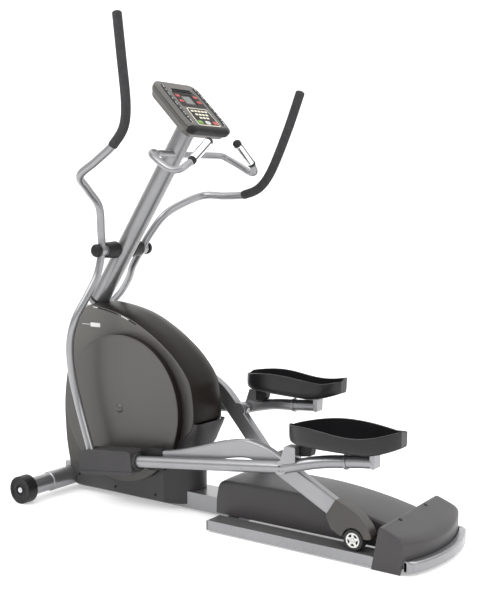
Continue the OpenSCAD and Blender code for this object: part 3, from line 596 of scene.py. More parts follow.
# foot of the cowl, standing on both sides of the base beam
foot_levels = [(24, 180.5, 298, 2), (28, 180.5, 300, 2), (73.5, 180.5, 300, 2)]
add("rear_cowl_foot", cowl_shell(foot_levels), DARK, "frame", sharp=40,
    cuts=[block((170, -58.5, 0), (340, 58.5, 73))])

REAR_SLOPE = math.tan(math.radians(20))


def rear_top(x):
    return 140 - (x - 1150) * REAR_SLOPE


screws = []
for s in (-1, 1):
    for x, z in ((-250, 66), (-60, 44), (140, 44)):
        screw = lathe(eased([(0, -92.6), (3.6, -92.6), (4.6, -91), (4.6, -86)], 0.8), x, z,
                      20)
        screws.append(moved(screw, fixed if s < 0 else mirrored))
    top = rear_top(1160)
    dome = [(6 * math.cos(a * math.pi / 5), -95 * s + 6 * math.sin(a * math.pi / 5))
            for a in range(10)]
    verts, faces = slab(dome, -2, 2.6)
    screws.append(([(1160 + x, y, z + top - x * REAR_SLOPE) for x, y, z in verts], faces))
add("cover_screws", joined(*screws), BLACK, "frame", "frame_screws", bevel=0.5)

# ---------- mast and pivot covers ----------

mast_low, mast_high = Vector((-214, 0, 752)), Vector((214, 0, 1384))
mast_dir = (mast_high - mast_low).normalized()
add("mast", tube([mast_low + mast_dir * t for t in (-12, 100, 300, 500, 700, 790)], MAST_R, 56),
    MAST, "frame", "console_mast")
collar = [mast_low + mast_dir * t for t in (4, 6, 12, 14)]
add("mast_collar", sweep(collar, circle(MAST_R + 1.6, 56), [0.985, 1, 1, 0.985]), BLACK,
    "frame")

for name, pose in SIDES:
    cone = eased([(24.9, -100.6), (29, -101.4), (33, -44), (33, -41.5), (24.9, -41.5)], 3)
    shape = lathe(cone + [cone[0]], PIVOT_X, PIVOT_Z, 56)
    mast_cut = sweep([mast_low + mast_dir * t for t in (0, 250, 500)], circle(MAST_R + 0.4, 48))
    add(f"pivot_cover_{name}", shape, BLACK, "frame", "pivot_covers" if name == "left" else (),
        pose=pose, cuts=[mast_cut])
    cap = [(12.1, -136), (25, -136), (25, -149), (22, -153.5), (15, -156), (0, -156)]
    add(f"pivot_cap_{name}", lathe(eased(cap, 3), PIVOT_X, PIVOT_Z, 56), BLACK, "frame",
        pose=pose)

# ---------- console ----------


def console_part(name, shape, mat, nodes=(), slot=None, **looks):
    add(name, shape, mat, "frame", nodes, slot, on_console, **looks)


CONSOLE_LEN, CONSOLE_WIDTH, CONSOLE_R, CONSOLE_CREST = 256, 252, 34, 14


def console_line(inset):
    """Rounded outline, moved in by inset, its far edge arched."""
    length, width = CONSOLE_LEN - 2 * inset, CONSOLE_WIDTH - 2 * inset
    pts = []
    for x, y in round_rect(length, width, CONSOLE_R - inset * 0.5, 8):
        if x < 0:
            x -= CONSOLE_CREST * (1 - (2 * y / width) ** 2) * min(1, -2 * x / length)
        pts.append((x, y))
    return pts


def console_body(levels):
    """Lofted shell: levels are (z, inset)."""
    return loft([[(x, y, z) for x, y in console_line(inset)] for z, inset in levels])


console_part("console_shell", console_body([(-50, 22), (-50, 14), (-46, 11.5), (-36, 8),
                                            (-30, 3), (-24, 0.8), (-14, 0), (-12.2, 0.6)]),
             PANEL, "console_shell", "dark_plastic", sharp=50)
console_part("console_front", console_body([(-32, 5), (-30, 2.6), (-24, 0.4), (-14, -0.4),
                                            (-9, 0), (-5, 2.6), (-1.5, 8.6), (0.4, 14)]), BLACK,
             sharp=50, cuts=[block((-140, -140, -60), (107, 140, 10))])
KEY_X, KEY_CUT = 88, (17.8, 27.8)
key_holes = [slab(rect_at(KEY_X, y, *KEY_CUT, 5.4), -7, 4) for y in (-44, 0, 44)]
face_cuts = key_holes + [block((-92, -56, -5), (-78, 56, 4)),
                         block((-63, -34, -7), (-7, 34, 4))]
console_part("console_face", console_body([(-24, 9), (-11.4, 9), (-11.2, 1), (-9, 0.4), (-5, 3),
                                           (-1.5, 9), (0, 14)]), PANEL, "console_face",
             cuts=face_cuts, sharp=50)
console_part("console_edge_band", console_body([(-12.4, 0.2), (-12.4, 0), (-11, 0),
                                                (-11, 0.2)]), BLACK)
# a row of small lights along each side of the face
LIGHT_COUNT = 15
strips = []
lights = []
for s in (-1, 1):
    line = flat_curve([(-104, s * 92), (-60, s * 98), (0, s * 100), (60, s * 100),
                       (92, s * 96)], 6)
    band = [(x, y - 8) for x, y in line] + [(x, y + 8) for x, y in reversed(line)]
    strips.append(slab(band, -1, 2.2))
    for k in range(LIGHT_COUNT):
        x, y = line[min(int(k * len(line) / LIGHT_COUNT) + 1, len(line) - 1)]
        lights.append(slab(rect_at(x, y, 5.4, 3.8, 1, 2), 0, 2.9))
console_part("led_strips", joined(*strips), BLACK, bevel=0.3, steps=1)
console_part("led_lights", joined(*lights), LIGHT)
console_part("upper_lens", slab(eased_loop([(-74, -68), (6, -72), (6, 72), (-74, 68)], 9), -3,
                                0.5), GLOSS, bevel=0.4, steps=1,
             cuts=[block((-60, -30, -8), (-10, 30, 4))])
console_part("reading_ledge", slab(eased_loop([(-91, -55), (-79, -55), (-79, 55), (-91, 55)],
                                              4), -4.8, -3.6), BLACK)
console_part("ledge_lip", tube([(-77.5, -58, 1), (-76.5, 0, 1.6), (-77.5, 58, 1)], 1.8, 12,
                               1.8), BLACK)
console_part("display", slab(rect_at(-35, 0, 52.6, 64.6, 3), -6.9, -2.6), LCD,
             "console_display", bevel=0.5)
segments = []
for row in range(4):
    for col in range(7):
        segments.append(block((-57 + row * 12, -27 + col * 8, -2.7),
                              (-49 + row * 12, -23.5 + col * 8, -2.35)))
console_part("display_marks", joined(*segments), DARK, (), "black_plastic")
red_keys = [slab(rect_at(x, y, 13, 24, 4), -1, 1.7) for y in (-52, 52) for x in (-52, -24)]
console_part("side_keys", joined(*red_keys), RED, bevel=0.6)

pad = eased_loop([(12, -60), (104, -66), (104, 66), (12, 60)], 10)
pad_in = eased_loop([(15.5, -56.5), (100.5, -62.5), (100.5, 62.5), (15.5, 56.5)], 8)
console_part("keypad_border", slab(pad, -3, 0.9), CREAM, bevel=0.4, steps=1, cuts=key_holes)
console_part("keypad", slab(pad_in, -3, 1.3), GLOSS, bevel=0.4, steps=1, cuts=key_holes)
cream = []
for x, count in ((29, 5), (47, 4), (64, 3)):
    for k in range(count):
        y = (k - (count - 1) / 2) * 20
        cream.append(slab(rect_at(x, y, 9, 15, 2.5), 0, 2.2))
console_part("programme_keys", joined(*cream), CREAM, bevel=0.5)
for name, y, mat, slot in (("start_key", -44, GREEN, "green_key"),
                           ("stop_key", 44, RED, "red_key"),
                           ("level_key", 0, LIGHT, "light_plastic")):
    cap = loft([[(KEY_X + u * k, y + v * k, z) for u, v in round_rect(17, 27, 5, 6)]
                for z, k in ((-4.5, 1), (1.0, 1), (1.7, 0.97), (2, 0.9))])
    add(name, cap, mat, f"{name}_body", name, slot, pose=on_console, sharp=50)
mark = [(-4, -5.5), (0, -1), (4, -5.5), (4, -2), (0, 2.8), (-4, -2)]
add("level_mark", slab([(KEY_X + x * 0.8, y) for x, y in mark], 1.5, 2.25), BLACK,
    "level_key_body", pose=on_console)

# ---------- fixed handlebar and pulse grips ----------

bar_half = [(188, -120, 1319), (236, -195, 1318), (252, -223, 1308), (300, -238, 1280),
            (350, -238, 1254), (380, -223, 1256), (394, -186, 1281)]
bar_path = bar_half[::-1] + [(188, 0, 1318)] + [mirrored(p) for p in bar_half]
add("fixed_handlebar", tube(curve(bar_path, 9), FIXED_BAR_R, 28), SILVER, "frame",
    "fixed_handlebar")
grip_low, grip_high = Vector((394, -186, 1281)), Vector((396, -74, 1363))
grip_axis = (grip_high - grip_low).normalized()
grip_len = (grip_high - grip_low).length
for name, pose in SIDES:
    body = tube([grip_low + grip_axis * t for t in (4, 20, 60, 100, grip_len - 12)],
                PULSE_R, 32, 9)
    add(f"pulse_grip_{name}", body, BLACK, "frame", "pulse_grips" if name == "left" else (),
        "grip_chrome", pose=pose)
    # a contact plate on each side, with black between them
    plates = []
    for outward in (-1, 1):
        toward = Vector((0.3, 0.9 * outward, 0.1))
        across = (toward - toward.dot(grip_axis) * grip_axis).normalized()
        out = grip_axis.cross(across)
        around = [across * cosd(a) + out * sind(a) for a in range(-52, 53, 4)]
        rings = []
        for t, k in ((14, 0.98), (15, 1.03), (17, 1.045), (grip_len - 24, 1.045),
                     (grip_len - 22, 1.03), (grip_len - 21, 0.98)):
            centre = grip_low + grip_axis * t
            rings.append([centre + PULSE_R * k * v for v in around]
                         + [centre + (PULSE_R - 1) * v for v in reversed(around)])
        plates.append(loft(rings))
    add(f"pulse_plate_{name}", joined(*plates), CHROME, "frame", pose=pose, sharp=50)

# ---------- ramp ----------

RAIL_X0, RAIL_X1, RAIL_Y, RAIL_IN, TRACK_Z = 476, 1128, 214, 138, 41
for name, pose in SIDES:
    cap = joined(block((RAIL_X0 - 1, -RAIL_Y, 6.5), (RAIL_X0 + 5, -RAIL_IN + 4, TRACK_Z - 1)),
                 block((RAIL_X0 + 2, -RAIL_Y + 0.2, TRACK_Z - 3),
                       (RAIL_X1 - 10, -RAIL_Y + 2.4, TRACK_Z + 0.6)))
    add(f"rail_lip_{name}", cap, SILVER, "frame", pose=pose, bevel=1)
    ridge = []
    for y0, y1, z in ((-211.8, -207, 41), (-207, -203, 39.2), (-203, -148, 41),
                      (-148, -144, 39.2), (-144, -138.2, 41)):
        ridge += [(y0, z), (y1, z)]
    section = eased([(-211.8, 36.2)] + ridge + [(-138.2, 36.2)], 0.7, 2)
    rings = [[(x, y, z) for y, z in section] for x in (RAIL_X0 + 3, RAIL_X1 - 1)]
    add(f"rail_track_{name}", loft(rings), TRACK, "frame",
        "rail_tracks" if name == "left" else (), pose=pose)

cover_line = flat_curve([(445, 40), (452, 120), (470, 158), (540, 165), (660, 168),
                         (800, 167), (900, 160), (1000, 147), (1080, 132), (1150, 116)], 8)
COVER_Y = 119
section = [(-1.0, None), (-0.985, -12), (-0.97, -5), (-0.94, -1.2), (-0.90, 0.2), (-0.6, 2.4),
           (-0.3, 3.2), (0, 3.4)]
section = section + [(-a, b) for a, b in reversed(section[:-1])]
rings = []
for x, z in cover_line[6:]:
    top = max(z, 60)
    rings.append([(x, a * COVER_Y, 39.5 if b is None else top + b - 3.2)
                  for a, b in section])
add("centre_cover", loft(rings), COVER, "frame", "centre_cover", sharp=40,
    cuts=[block((400, -59, 0), (469, 59, 74))])

# rear cover: a grid of points over its top, with a rim of points round its foot
REAR_ARC_X, REAR_ARC_R = 742, 530
COVER_FRONT, COVER_HALF = 1142, 215.5
ROWS, COLS = 29, 49
rings = []
for i in range(ROWS):
    a = i / (ROWS - 1)
    row = []
    for k in range(-24, 25):
        y = COVER_HALF * math.sin(math.pi / 2 * k / 24)
        back = REAR_ARC_X + math.sqrt(REAR_ARC_R ** 2 - y ** 2)
        x = COVER_FRONT + (back - COVER_FRONT) * a
        edge = 1 - abs(k / 24) ** 14
        z = rear_top(max(x, 1152)) - 12 * a ** 10 - 8 * (1 - edge) - (7 if i == 0 else 0)
        row.append((x, y, z))
    rings.append(row)
verts = [p for r in rings for p in r]
faces = [[r * COLS + c, r * COLS + c + 1, (r + 1) * COLS + c + 1, (r + 1) * COLS + c]
         for r in range(ROWS - 1) for c in range(COLS - 1)]
rim = ([(0, c) for c in range(COLS)] + [(r, COLS - 1) for r in range(1, ROWS)]
       + [(ROWS - 1, c) for c in range(COLS - 2, -1, -1)]
       + [(r, 0) for r in range(ROWS - 2, 0, -1)])
low = []
for r, c in rim:
    x, y, z = rings[r][c]
    base = 2 if x < 1222 and abs(y) > 200 else 32
    low.append((x - (23 if r == 0 else 0), y, 2 if r == 0 else base))
start = len(verts)
verts += low
n = len(rim)
for i in range(n):
    j = (i + 1) % n
    faces.append([rim[i][0] * COLS + rim[i][1], rim[j][0] * COLS + rim[j][1],
                  start + j, start + i])
faces.append([start + i for i in range(n)])
add("rear_cover", (verts, faces), COVER, "frame", "rear_cover", sharp=45,
    cuts=[block((1100, -COVER_Y - 0.5, -5), (1151, COVER_Y + 0.5, 121)),
          block((1090, -RAIL_Y - 0.4, -5), (RAIL_X1 + 1, RAIL_Y + 0.4, TRACK_Z + 0.6)),
          block((1126, -205, -5), (1300, 205, 30.5))])

BUMPER_HALF = 211.5
rings = []
for k in range(-30, 31):
    y = BUMPER_HALF * k / 30
    x = REAR_ARC_X + math.sqrt(REAR_ARC_R ** 2 - y * y)
    end = 1 - abs(y / BUMPER_HALF) ** 16
    t = 1 + 28.5 * (0.35 + 0.65 * end)
    rings.append([(x + a, y, z) for a, z in
                  ((1.2, 14), (t - 5, 12.2), (t - 1, 15), (t, 22), (t, 40), (t - 2.5, 45.5),
                   (t - 6.5, 47.6), (3, 46), (1.2, 44))])
add("rear_bumper", loft(rings), SILVER, "frame", "rear_bumper", sharp=40)
end_line = [(1228, 14), (1246, 12.5), (1257, 18), (1257, 40), (1242, 47.5), (1228, 47.5)]
ends = [prism(end_line, y - 5.5, y + 5.5) for y in (-206, 206)]
add("bumper_ends", joined(*ends), SILVER, "frame", bevel=2)

feet = []
for x in (530, 1160):
    for y in (-176, 176):
        rings = [[(x + r * math.cos(a * math.pi / 14), y + r * math.sin(a * math.pi / 14), z)
                  for a in range(28)] for r, z in ((12, 0), (15, 0.4), (16, 2.5), (15, 7))]
        feet.append(loft(rings))
add("ramp_feet", joined(*feet), BLACK, "frame", "ramp_feet")

# ---------- crank discs ----------

DISC_Y, DISC_R = 127, 280
for name, pose in SIDES:
    plate = [(0, -DISC_Y), (DISC_R - 9, -DISC_Y), (DISC_R - 2, -DISC_Y + 1.2),
             (DISC_R - 0.6, -DISC_Y + 3), (DISC_R - 0.6, -DISC_Y + 5),
             (DISC_R - 7, -DISC_Y + 5), (DISC_R - 7, -DISC_Y + 4), (0, -DISC_Y + 4)]
    angle = PIN_DEG if name == "left" else PIN_DEG + 180
    px = CRANK_R * cosd(angle)
    pz = AXLE_Z + CRANK_R * sind(angle)
    hole = rod(11.3, -137, -117, px, pz, 32)
    add(f"crank_disc_{name}", lathe(plate, 0, AXLE_Z, 160), DISC, "crank", f"crank_disc_{name}",
        pose=pose, cuts=[hole])
    rim = [(DISC_R - 7, -DISC_Y + 5), (DISC_R, -DISC_Y + 5), (DISC_R, -DISC_Y + 28),
           (DISC_R - 2, -DISC_Y + 30), (DISC_R - 6, -DISC_Y + 30), (DISC_R - 7, -DISC_Y + 28),
           (DISC_R - 7, -DISC_Y + 5)]
    add(f"disc_rim_{name}", lathe(rim, 0, AXLE_Z, 160), GLOSS, "crank", pose=pose)
    cap = [(0, -135), (6, -134.6), (11, -133.2), (15.5, -130.6), (18, -127.4), (18, -125)]
    add(f"disc_cap_{name}", lathe(cap, 0, AXLE_Z, 40), DISC, "crank", pose=pose)

# ---------- linkage ----------

ARM_IN, ARM_OUT = 145, 177
arm_line = flat_curve([(pin_x, pin_z), (262, 217), (330, 231), (420, 257), (520, 288),
                       (606, 304), (660, 299), (709, 283), (775, 251), (857, 209),
                       (928, 172), (985, 143)], 8)
TUBE_Y = 201
pedal_front = [(KNUCKLE_X + 62, -TUBE_Y, KNUCKLE_Z + 62 * tube_rise),
               (HINGE_X - 60, -TUBE_Y, HINGE_Z - 60 * tube_rise)]
pedal_tube = curve(pedal_front + [(HINGE_X, -TUBE_Y, HINGE_Z), (850, -199, 291),
                                  (900, -193, 304), (950, -184, 313), (1000, -178, 319),
                                  (1050, -176, 326), (1106, -176, 332)], 10)

bar_points = [(252, -160, 687), (270, -160, 525), (257, -159, 440), (211, -162, 382),
              (129, -166, 325), (49, -160, 277), (24, -95, 228), (12, -24, 165),
              (2, -4, 70), (0, 0, 0), (-12, -12, -90), (-28, -48, -165), (-58, -86, -255),
              (-84, -91, -350), (-84, -84, -460), (-57, -73, -597), (10, -73, -788)]
foam_points = [(229, -154, 834), (252, -160, 687), (270, -160, 525), (257, -159, 440),
               (211, -162, 382)]


def from_pivot(points):
    return [(PIVOT_X + x, -BAR_Y + y, PIVOT_Z + z) for x, y, z in points]


# the bar's first three spans lie inside the foam grip
bar_line = curve(from_pivot(bar_points), 9)[27:]
foam_line = curve(from_pivot(foam_points), 10)
shroud_lean = -math.degrees(math.atan(tube_rise))


def in_shroud(p):
    q = turned(p, 0, 0, shroud_lean)
    return (q[0] + KNUCKLE_X, q[1], q[2] + KNUCKLE_Z)


def on_tube(p):
    """Turns a lathed shape's axis along X, onto the pedal arm's tube."""
    return (p[1], p[0] - TUBE_Y, p[2])


PEDAL_X0, PEDAL_LEN, PEDAL_HALF, PEDAL_Y, PEDAL_Z = 806, 406, 86, -180, 363


def pedal_half(t):
    """Half width of the pedal at the share t of its length."""
    return PEDAL_HALF * max(1 - abs(2 * t - 1) ** 2.8, 0) ** (1 / 2.3)


def pedal_heel(t):
    """Rise of the underside and the tread towards the heel."""
    return 240 * (t - 0.72) ** 1.6 if t > 0.72 else 0


def pedal_rings(n=40):
    rings = []
    for k in range(n + 1):
        t = 0.004 + 0.992 * (1 - math.cos(math.pi * k / n)) / 2
        w = pedal_half(t) + 2
        x = PEDAL_X0 + PEDAL_LEN * t
        b = PEDAL_Z + pedal_heel(t) + (60 * (0.12 - t) if t < 0.12 else 0)
        wi = max(w - 8, 0.6)
        # rim heights on the outer and the inner side
        top_o = 424 + 7 * sind(360 * (t * 1.15 - 0.02)) + 20 * t ** 5
        top_i = 416 + 24 * sind(180 * min(t * 1.15 + 0.02, 1)) + 24 * t ** 4
        deep = 3 <= k <= n - 3
        floors = []
        halves = []
        for side, top in ((-1, top_o), (1, top_i)):
            floor = b + 12 if deep else top - 2
            floors.append(floor)
            line = [(w * 0.78, b + 1), (w * 0.88, b + 3), (w * 0.96, b + 12),
                    (w * 0.99, b + 20), (w * 0.985, b + 23), (w, b + 26), (w, top - 4),
                    (w * 0.985, top - 1), ((w + wi) / 2, top), (wi, top - 1.5),
                    (wi * 0.985, (top + floor) / 2), (wi * 0.97, floor + 1), (wi * 0.9, floor)]
            halves.append([(x, PEDAL_Y + side * u, z) for u, z in line])
        rings.append([(x, PEDAL_Y, b + 1)] + halves[0] + [(x, PEDAL_Y, sum(floors) / 2)]
                     + halves[1][::-1])
    return rings


for name, _ in SIDES:
    arm, ped, swing, roll = ((fixed,) * 4 if name == "left"
                             else (arm_pose, pedal_pose, swing_pose, rolled))
    link, pedal_link = f"link_{name}", f"pedal_link_{name}"

    # connecting arm with its pivot boss
    path = [(x, -(ARM_IN + ARM_OUT) / 2, z) for x, z in arm_line]
    box_tube = sweep(path, round_rect(ARM_OUT - ARM_IN, ARM_DEPTH, 6, 4))
    nose = lathe(eased([(0, -ARM_OUT), (30.5, -ARM_OUT), (30.5, -ARM_IN), (0, -ARM_IN)], 4),
                 pin_x, pin_z, 48)
    plate = prism(eased_loop([(960, 176), (1000, 150), (1062, 92), (1060, 64), (1036, 62),
                              (950, 130)], 8), -156, -ARM_IN)
    boss = lathe(eased([(0, -ARM_OUT - 3), (26, -ARM_OUT - 3), (26, -ARM_IN), (0, -ARM_IN)],
                       2), HINGE_X, HINGE_Z, 48)
    web = prism(eased_loop([(738, 284), (806, 256), (812, 296), (792, 300)], 5), -170, -152)
    add(f"connecting_arm_{name}", joined(box_tube, nose, plate, boss, web), SILVER, link,
        f"connecting_arm_{name}", pose=arm, sharp=40)

    # black cover over its front head
    head = arc(pin_x - 4, pin_z - 6, 42, range(96, 277, 10))
    shell = head + [(pin_x + 57, pin_z - 40), (pin_x + 49, pin_z + 37)]
    cavity = prism(offset(arm_line, 31.8)[:12] + offset(arm_line, -31.8)[:12][::-1],
                   -ARM_OUT - 0.3, -ARM_IN + 2)
    head_cut = rod(32.5, -ARM_OUT - 0.3, -ARM_IN + 2, pin_x, pin_z)
    add(f"arm_end_cover_{name}", prism(shell, -ARM_OUT - 1.7, -ARM_IN - 2), BLACK, link,
        f"arm_end_cover_{name}", pose=arm, bevel=0.7, cuts=[cavity, head_cut])

    # fin-shaped wheel cover, arched over the wheel
    arch = arc(wheel_x, WHEEL_Z, 39, range(14, 171, 6))
    fin = [(950, 130), (947, 143), (982, 197)]
    fin += flat_curve([(982, 197), (1030, 178), (1070, 155), (1098, 126), (1112, 98)], 8)[1:]
    fin += [(1110, 90), (1096, 86)] + arch + [(1000, 82), (966, 98)]
    add(f"wheel_cover_{name}", prism(fin, -204, -159), FIN, link, f"wheel_cover_{name}",
        pose=arm, bevel=2.2, limit=30)

    # slide wheel: tyre with a light five-slot hub
    tyre = eased([(8.2, -201), (24, -201), (25, -203.8), (33, -203.6), (35, -200),
                  (35, -166), (33, -162), (8.2, -162)], 2.5)
    add(f"slide_wheel_{name}", lathe(tyre + [tyre[0]], wheel_x, WHEEL_Z, 64), TYRE,
        f"wheel_{name}", f"slide_wheel_{name}", pose=roll)
    parts = [lathe(eased([(19.5, -201), (19.5, -205), (24, -205), (24.4, -201)], 1),
                   wheel_x, WHEEL_Z, 48),
             lathe(eased([(8.2, -201), (8.2, -205.4), (11, -205.4), (12, -201)], 1),
                   wheel_x, WHEEL_Z, 32)]
    for k in range(5):
        a = math.radians(72 * k + 18)
        u, v = (math.cos(a), math.sin(a)), (-math.sin(a), math.cos(a))
        spoke = [(9.5, -4.4), (21, -3.4), (21, 3.4), (9.5, 4.4)]
        parts.append(prism([(wheel_x + s * u[0] + w * v[0], WHEEL_Z + s * u[1] + w * v[1])
                            for s, w in spoke], -204.8, -201))
    add(f"wheel_hub_{name}", joined(*parts), LIGHT, f"wheel_{name}", pose=roll, bevel=0.4,
        steps=1)
    axle = [(0, -206), (5, -206), (7.9, -205.6), (7.98, -204), (7.98, -145.5), (0, -145.5)]
    add(f"wheel_axle_{name}", lathe(axle, wheel_x, WHEEL_Z, 32), STEEL, f"carriage_{name}",
        f"wheel_axle_{name}", pose=roll)

    # pedal arm: tube, pivot sleeve, clamp ring, end plate and knuckle plates
    ring_path = [Vector((1003 + t, -178, 319 + 0.12 * t)) for t in (0, 1.5, 9, 10.5)]
    ring = sweep(ring_path, circle(25, 36), [0.93, 1, 1, 0.93])
    lug = tube([(1009, -180, 344), (1009, -180, 350)], 4, 14, 2)
    sleeve = lathe(eased([(0, -TUBE_Y - 17), (24, -TUBE_Y - 17), (24, -178.5), (0, -178.5)],
                         2.5), HINGE_X, HINGE_Z, 48)
    pin = rod(7.98, -TUBE_Y, -146, HINGE_X, HINGE_Z, 32)
    end_plate = prism(eased_loop([(1100, 319), (1109, 311), (1117, 315), (1117, 363),
                                  (1100, 363)], 4), -196, -156)
    bracket = prism(eased_loop([(780, 284), (800, 350), (842, 350), (842, 300)], 5), -222,
                    -183)
    knuckle = []
    around = arc(KNUCKLE_X, KNUCKLE_Z, 18, range(90, 271, 15))
    x0 = KNUCKLE_X + 62
    for y in (-210, -173.5):
        knuckle.append(prism(around + [(x0 + 6, KNUCKLE_Z - 12 + 62 * tube_rise),
                                       (x0 + 6, KNUCKLE_Z + 12 + 62 * tube_rise)], y, y + 3.5))
    knuckle.append(prism([(x0 - 4, KNUCKLE_Z - 2), (x0 + 8, KNUCKLE_Z), (x0 + 8, KNUCKLE_Z + 22),
                          (x0 - 4, KNUCKLE_Z + 20)], -210, -170))
    add(f"pedal_arm_{name}", joined(tube(pedal_tube, PEDAL_TUBE_R, 36), ring, lug, sleeve, pin,
                                    end_plate, bracket, *knuckle), SILVER, pedal_link,
        f"pedal_arm_{name}", pose=ped, sharp=40)
    bolt = [(0, -TUBE_Y - 20), (9, -TUBE_Y - 20), (11, -TUBE_Y - 17.5), (11, -TUBE_Y - 15)]
    add(f"hinge_bolt_{name}", lathe(bolt, HINGE_X, HINGE_Z, 28), BLACK, pedal_link, pose=ped)

    # knuckle shroud, open above and below for the handlebar's foot
    box = prism(eased_loop([(-34, -38), (-26, -48), (205, -48), (228, -36), (228, 34),
                            (215, 42), (60, 46), (-10, 44), (-34, 34)], 5, 3), -234, -164)
    cavity = [block((-29, -229, -62), (192, -169, 38)), block((-30, -229, 0), (34, -169, 62)),
              moved(rod(21.6, 180, 240, 0, 0, 40), on_tube)]
    add(f"knuckle_shroud_{name}", moved(box, in_shroud), DARK, pedal_link,
        f"knuckle_shroud_{name}", pose=ped, bevel=4, limit=35,
        cuts=[moved(c, in_shroud) for c in cavity])
    lip = lathe(eased([(21.6, 222), (29, 222), (31, 226), (31, 236), (28, 240), (21.6, 240)],
                      1.5), 0, 0, 44)
    add(f"knuckle_collar_{name}", moved(moved(lip, on_tube), in_shroud), TYRE, pedal_link,
        pose=ped, cuts=[moved(block((215, -180.5, -60), (260, -100, 60)), in_shroud)])
    seam = block((-35, -234.6, -34), (226, -233, -32.4))
    add(f"shroud_seam_{name}", moved(seam, in_shroud), BLACK, pedal_link, pose=ped)

    # pedal with its front support block and tread
    add(f"pedal_{name}", loft(pedal_rings()), PEDAL, pedal_link, f"pedal_{name}", pose=ped,
        sharp=60)
    ribs = []
    for k in range(26):
        x = 862 + 11.5 * k
        t = (x - PEDAL_X0) / PEDAL_LEN
        w = pedal_half(t) - 13
        base = PEDAL_Z + pedal_heel(t) + 12
        rise = 1.9 if k % 3 else 2.4
        ribs.append(prism([(x, base - 1), (x + 5.2, base - 1), (x + 4.4, base + rise),
                           (x + 0.8, base + rise)], PEDAL_Y - w, PEDAL_Y + w))
    for k in range(-2, 3):
        y = PEDAL_Y + 26 * k
        ribs.append(block((862, y - 1.6, 374), (1130, y + 1.6, 376.4)))
    add(f"pedal_tread_{name}", joined(*ribs), TYRE, pedal_link, (), "black_plastic", pose=ped)
    block_shape = joined(
        prism(eased_loop([(843, 316), (884, 322), (893, 366), (843, 370)], 3), -196, -164),
        prism(eased_loop([(846, 354), (1122, 360), (1122, 366), (846, 366)], 2), -204, -156))
    add(f"pedal_block_{name}", block_shape, BLACK, pedal_link, pose=ped, bevel=2)

    # handlebar, hub, foot and foam grip
    hub = lathe(eased([(12.1, -BAR_Y - 15.2), (22, -BAR_Y - 15.2), (22, -BAR_Y + 14.6),
                       (12.1, -BAR_Y + 14.6)], 1.5), PIVOT_X, PIVOT_Z, 48)
    foot = lathe(eased([(8.05, -199), (19, -199), (19, -181), (8.05, -181)], 1.2),
                 KNUCKLE_X, KNUCKLE_Z, 36)
    add(f"swing_arm_{name}", joined(tube(bar_line, BAR_R, 30), hub, foot), SILVER,
        f"handle_{name}", f"swing_arm_{name}", pose=swing, sharp=40)
    grip = add(f"foam_grip_{name}", tube(foam_line, FOAM_R, 36, 9), FOAM, f"handle_{name}",
               f"foam_grip_{name}", pose=swing, sharp=50)
    end = foam_line[-1]
    back = (foam_line[-1] - foam_line[-2]).normalized()
    add(f"grip_ring_{name}", sweep([end - back * 1 + back * t for t in (0, 1, 5, 6)],
                                   circle(16.6, 32), [0.96, 1, 1, 0.96]), BLACK,
        f"handle_{name}", pose=swing)

# ---------- remaining CAD nodes get their slot's finish and eased edges ----------

slot_of = {s["node"]: s["material_slot"] for s in frame["record"]["subparts"]}
for name, obj in frame["nodes"].items():
    if obj.hide_render:
        continue
    obj.data.materials.clear()
    obj.data.materials.append(SLOT_LOOKS[slot_of[name]])
    flat = obj.modifiers.new("flatten", "DECIMATE")
    flat.decimate_type, flat.angle_limit = "DISSOLVE", math.radians(1)
    ease = obj.modifiers.new("ease", "BEVEL")
    ease.width, ease.segments, ease.angle_limit = 0.0016, 2, math.radians(30)
    ease.limit_method = "ANGLE"
    for p in obj.data.polygons:
        p.use_smooth = True
    obj.modifiers.new("normals", "WEIGHTED_NORMAL").keep_sharp = True

# ---------- floor, world and lights --------

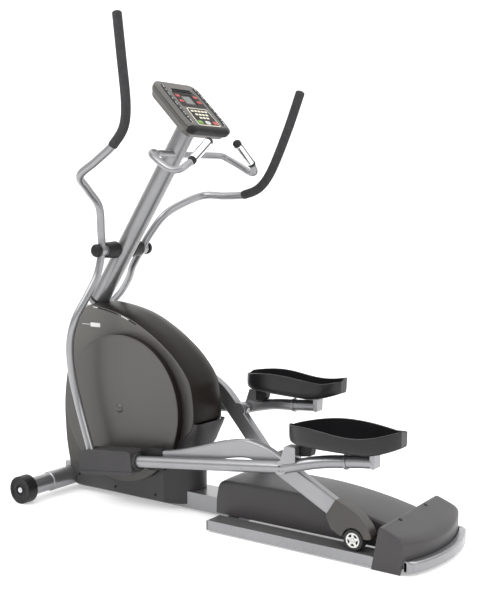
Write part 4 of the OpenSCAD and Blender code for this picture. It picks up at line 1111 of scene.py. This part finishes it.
# seamless floor that curves up into a wall behind the object, square to the camera
sweep_line = [(-9, 0), (3, 0)]
sweep_line += [(3 + 4 * sind(a), 4 - 4 * cosd(a))
               for a in range(5, 91, 5)]
sweep_line += [(7, 11)]
turn = math.radians(CAMERA_AZIMUTH)
ahead = Vector((-math.sin(turn), math.cos(turn), 0))
across = Vector((ahead.y, -ahead.x, 0))
verts = [tuple(ahead * d + across * w + Vector((0, 0, z))) for d, z in sweep_line
         for w in (-16, 16)]
floor_mesh = bpy.data.meshes.new("floor")
floor_mesh.from_pydata(verts, [], [[2 * i, 2 * i + 1, 2 * i + 3, 2 * i + 2]
                                   for i in range(len(sweep_line) - 1)])
for f in floor_mesh.polygons:
    f.use_smooth = True
floor = bpy.data.objects.new("floor", floor_mesh)
scene.collection.objects.link(floor)
BACKDROP = material("floor", (0.80, 0.80, 0.80), 0.7, mottle=0.005, specular=0.0)
glow = BACKDROP.node_tree.nodes["Principled BSDF"].inputs
glow["Emission Color"].default_value = (1, 1, 1, 1)
glow["Emission Strength"].default_value = 0.35
floor.data.materials.append(BACKDROP)

world = bpy.data.worlds.new("studio")
world.use_nodes = True
sky_tree = world.node_tree
direction = sky_tree.nodes.new("ShaderNodeTexCoord").outputs["Generated"]
split = shader_node(sky_tree, "ShaderNodeSeparateXYZ", {}, {"Vector": direction})
sky = shader_node(sky_tree, "ShaderNodeMapRange",
                  {"From Min": -0.05, "From Max": 0.75, "To Min": 0.34, "To Max": 1.75},
                  {"Value": split.outputs["Z"]})
sky.interpolation_type = "SMOOTHSTEP"
background = sky_tree.nodes["Background"]
background.inputs["Color"].default_value = (1, 1, 1, 1)
sky_tree.links.new(sky.outputs["Result"], background.inputs["Strength"])
scene.world = world
scene.view_settings.view_transform = "Standard"


def area_light(name, at, target, size, power):
    data = bpy.data.lights.new(name, "AREA")
    data.shape, data.size, data.size_y, data.energy = "RECTANGLE", size[0], size[1], power
    obj = bpy.data.objects.new(name, data)
    obj.location = at
    obj.rotation_euler = (Vector(target) - Vector(at)).to_track_quat("-Z", "Y").to_euler()
    scene.collection.objects.link(obj)


area_light("key", (-1.6, -3.2, 3.4), (0, 0, 0.7), (2.2, 2.2), 60)
area_light("fill", (3.6, -1.0, 2.4), (0, 0, 0.6), (2.0, 2.0), 30)
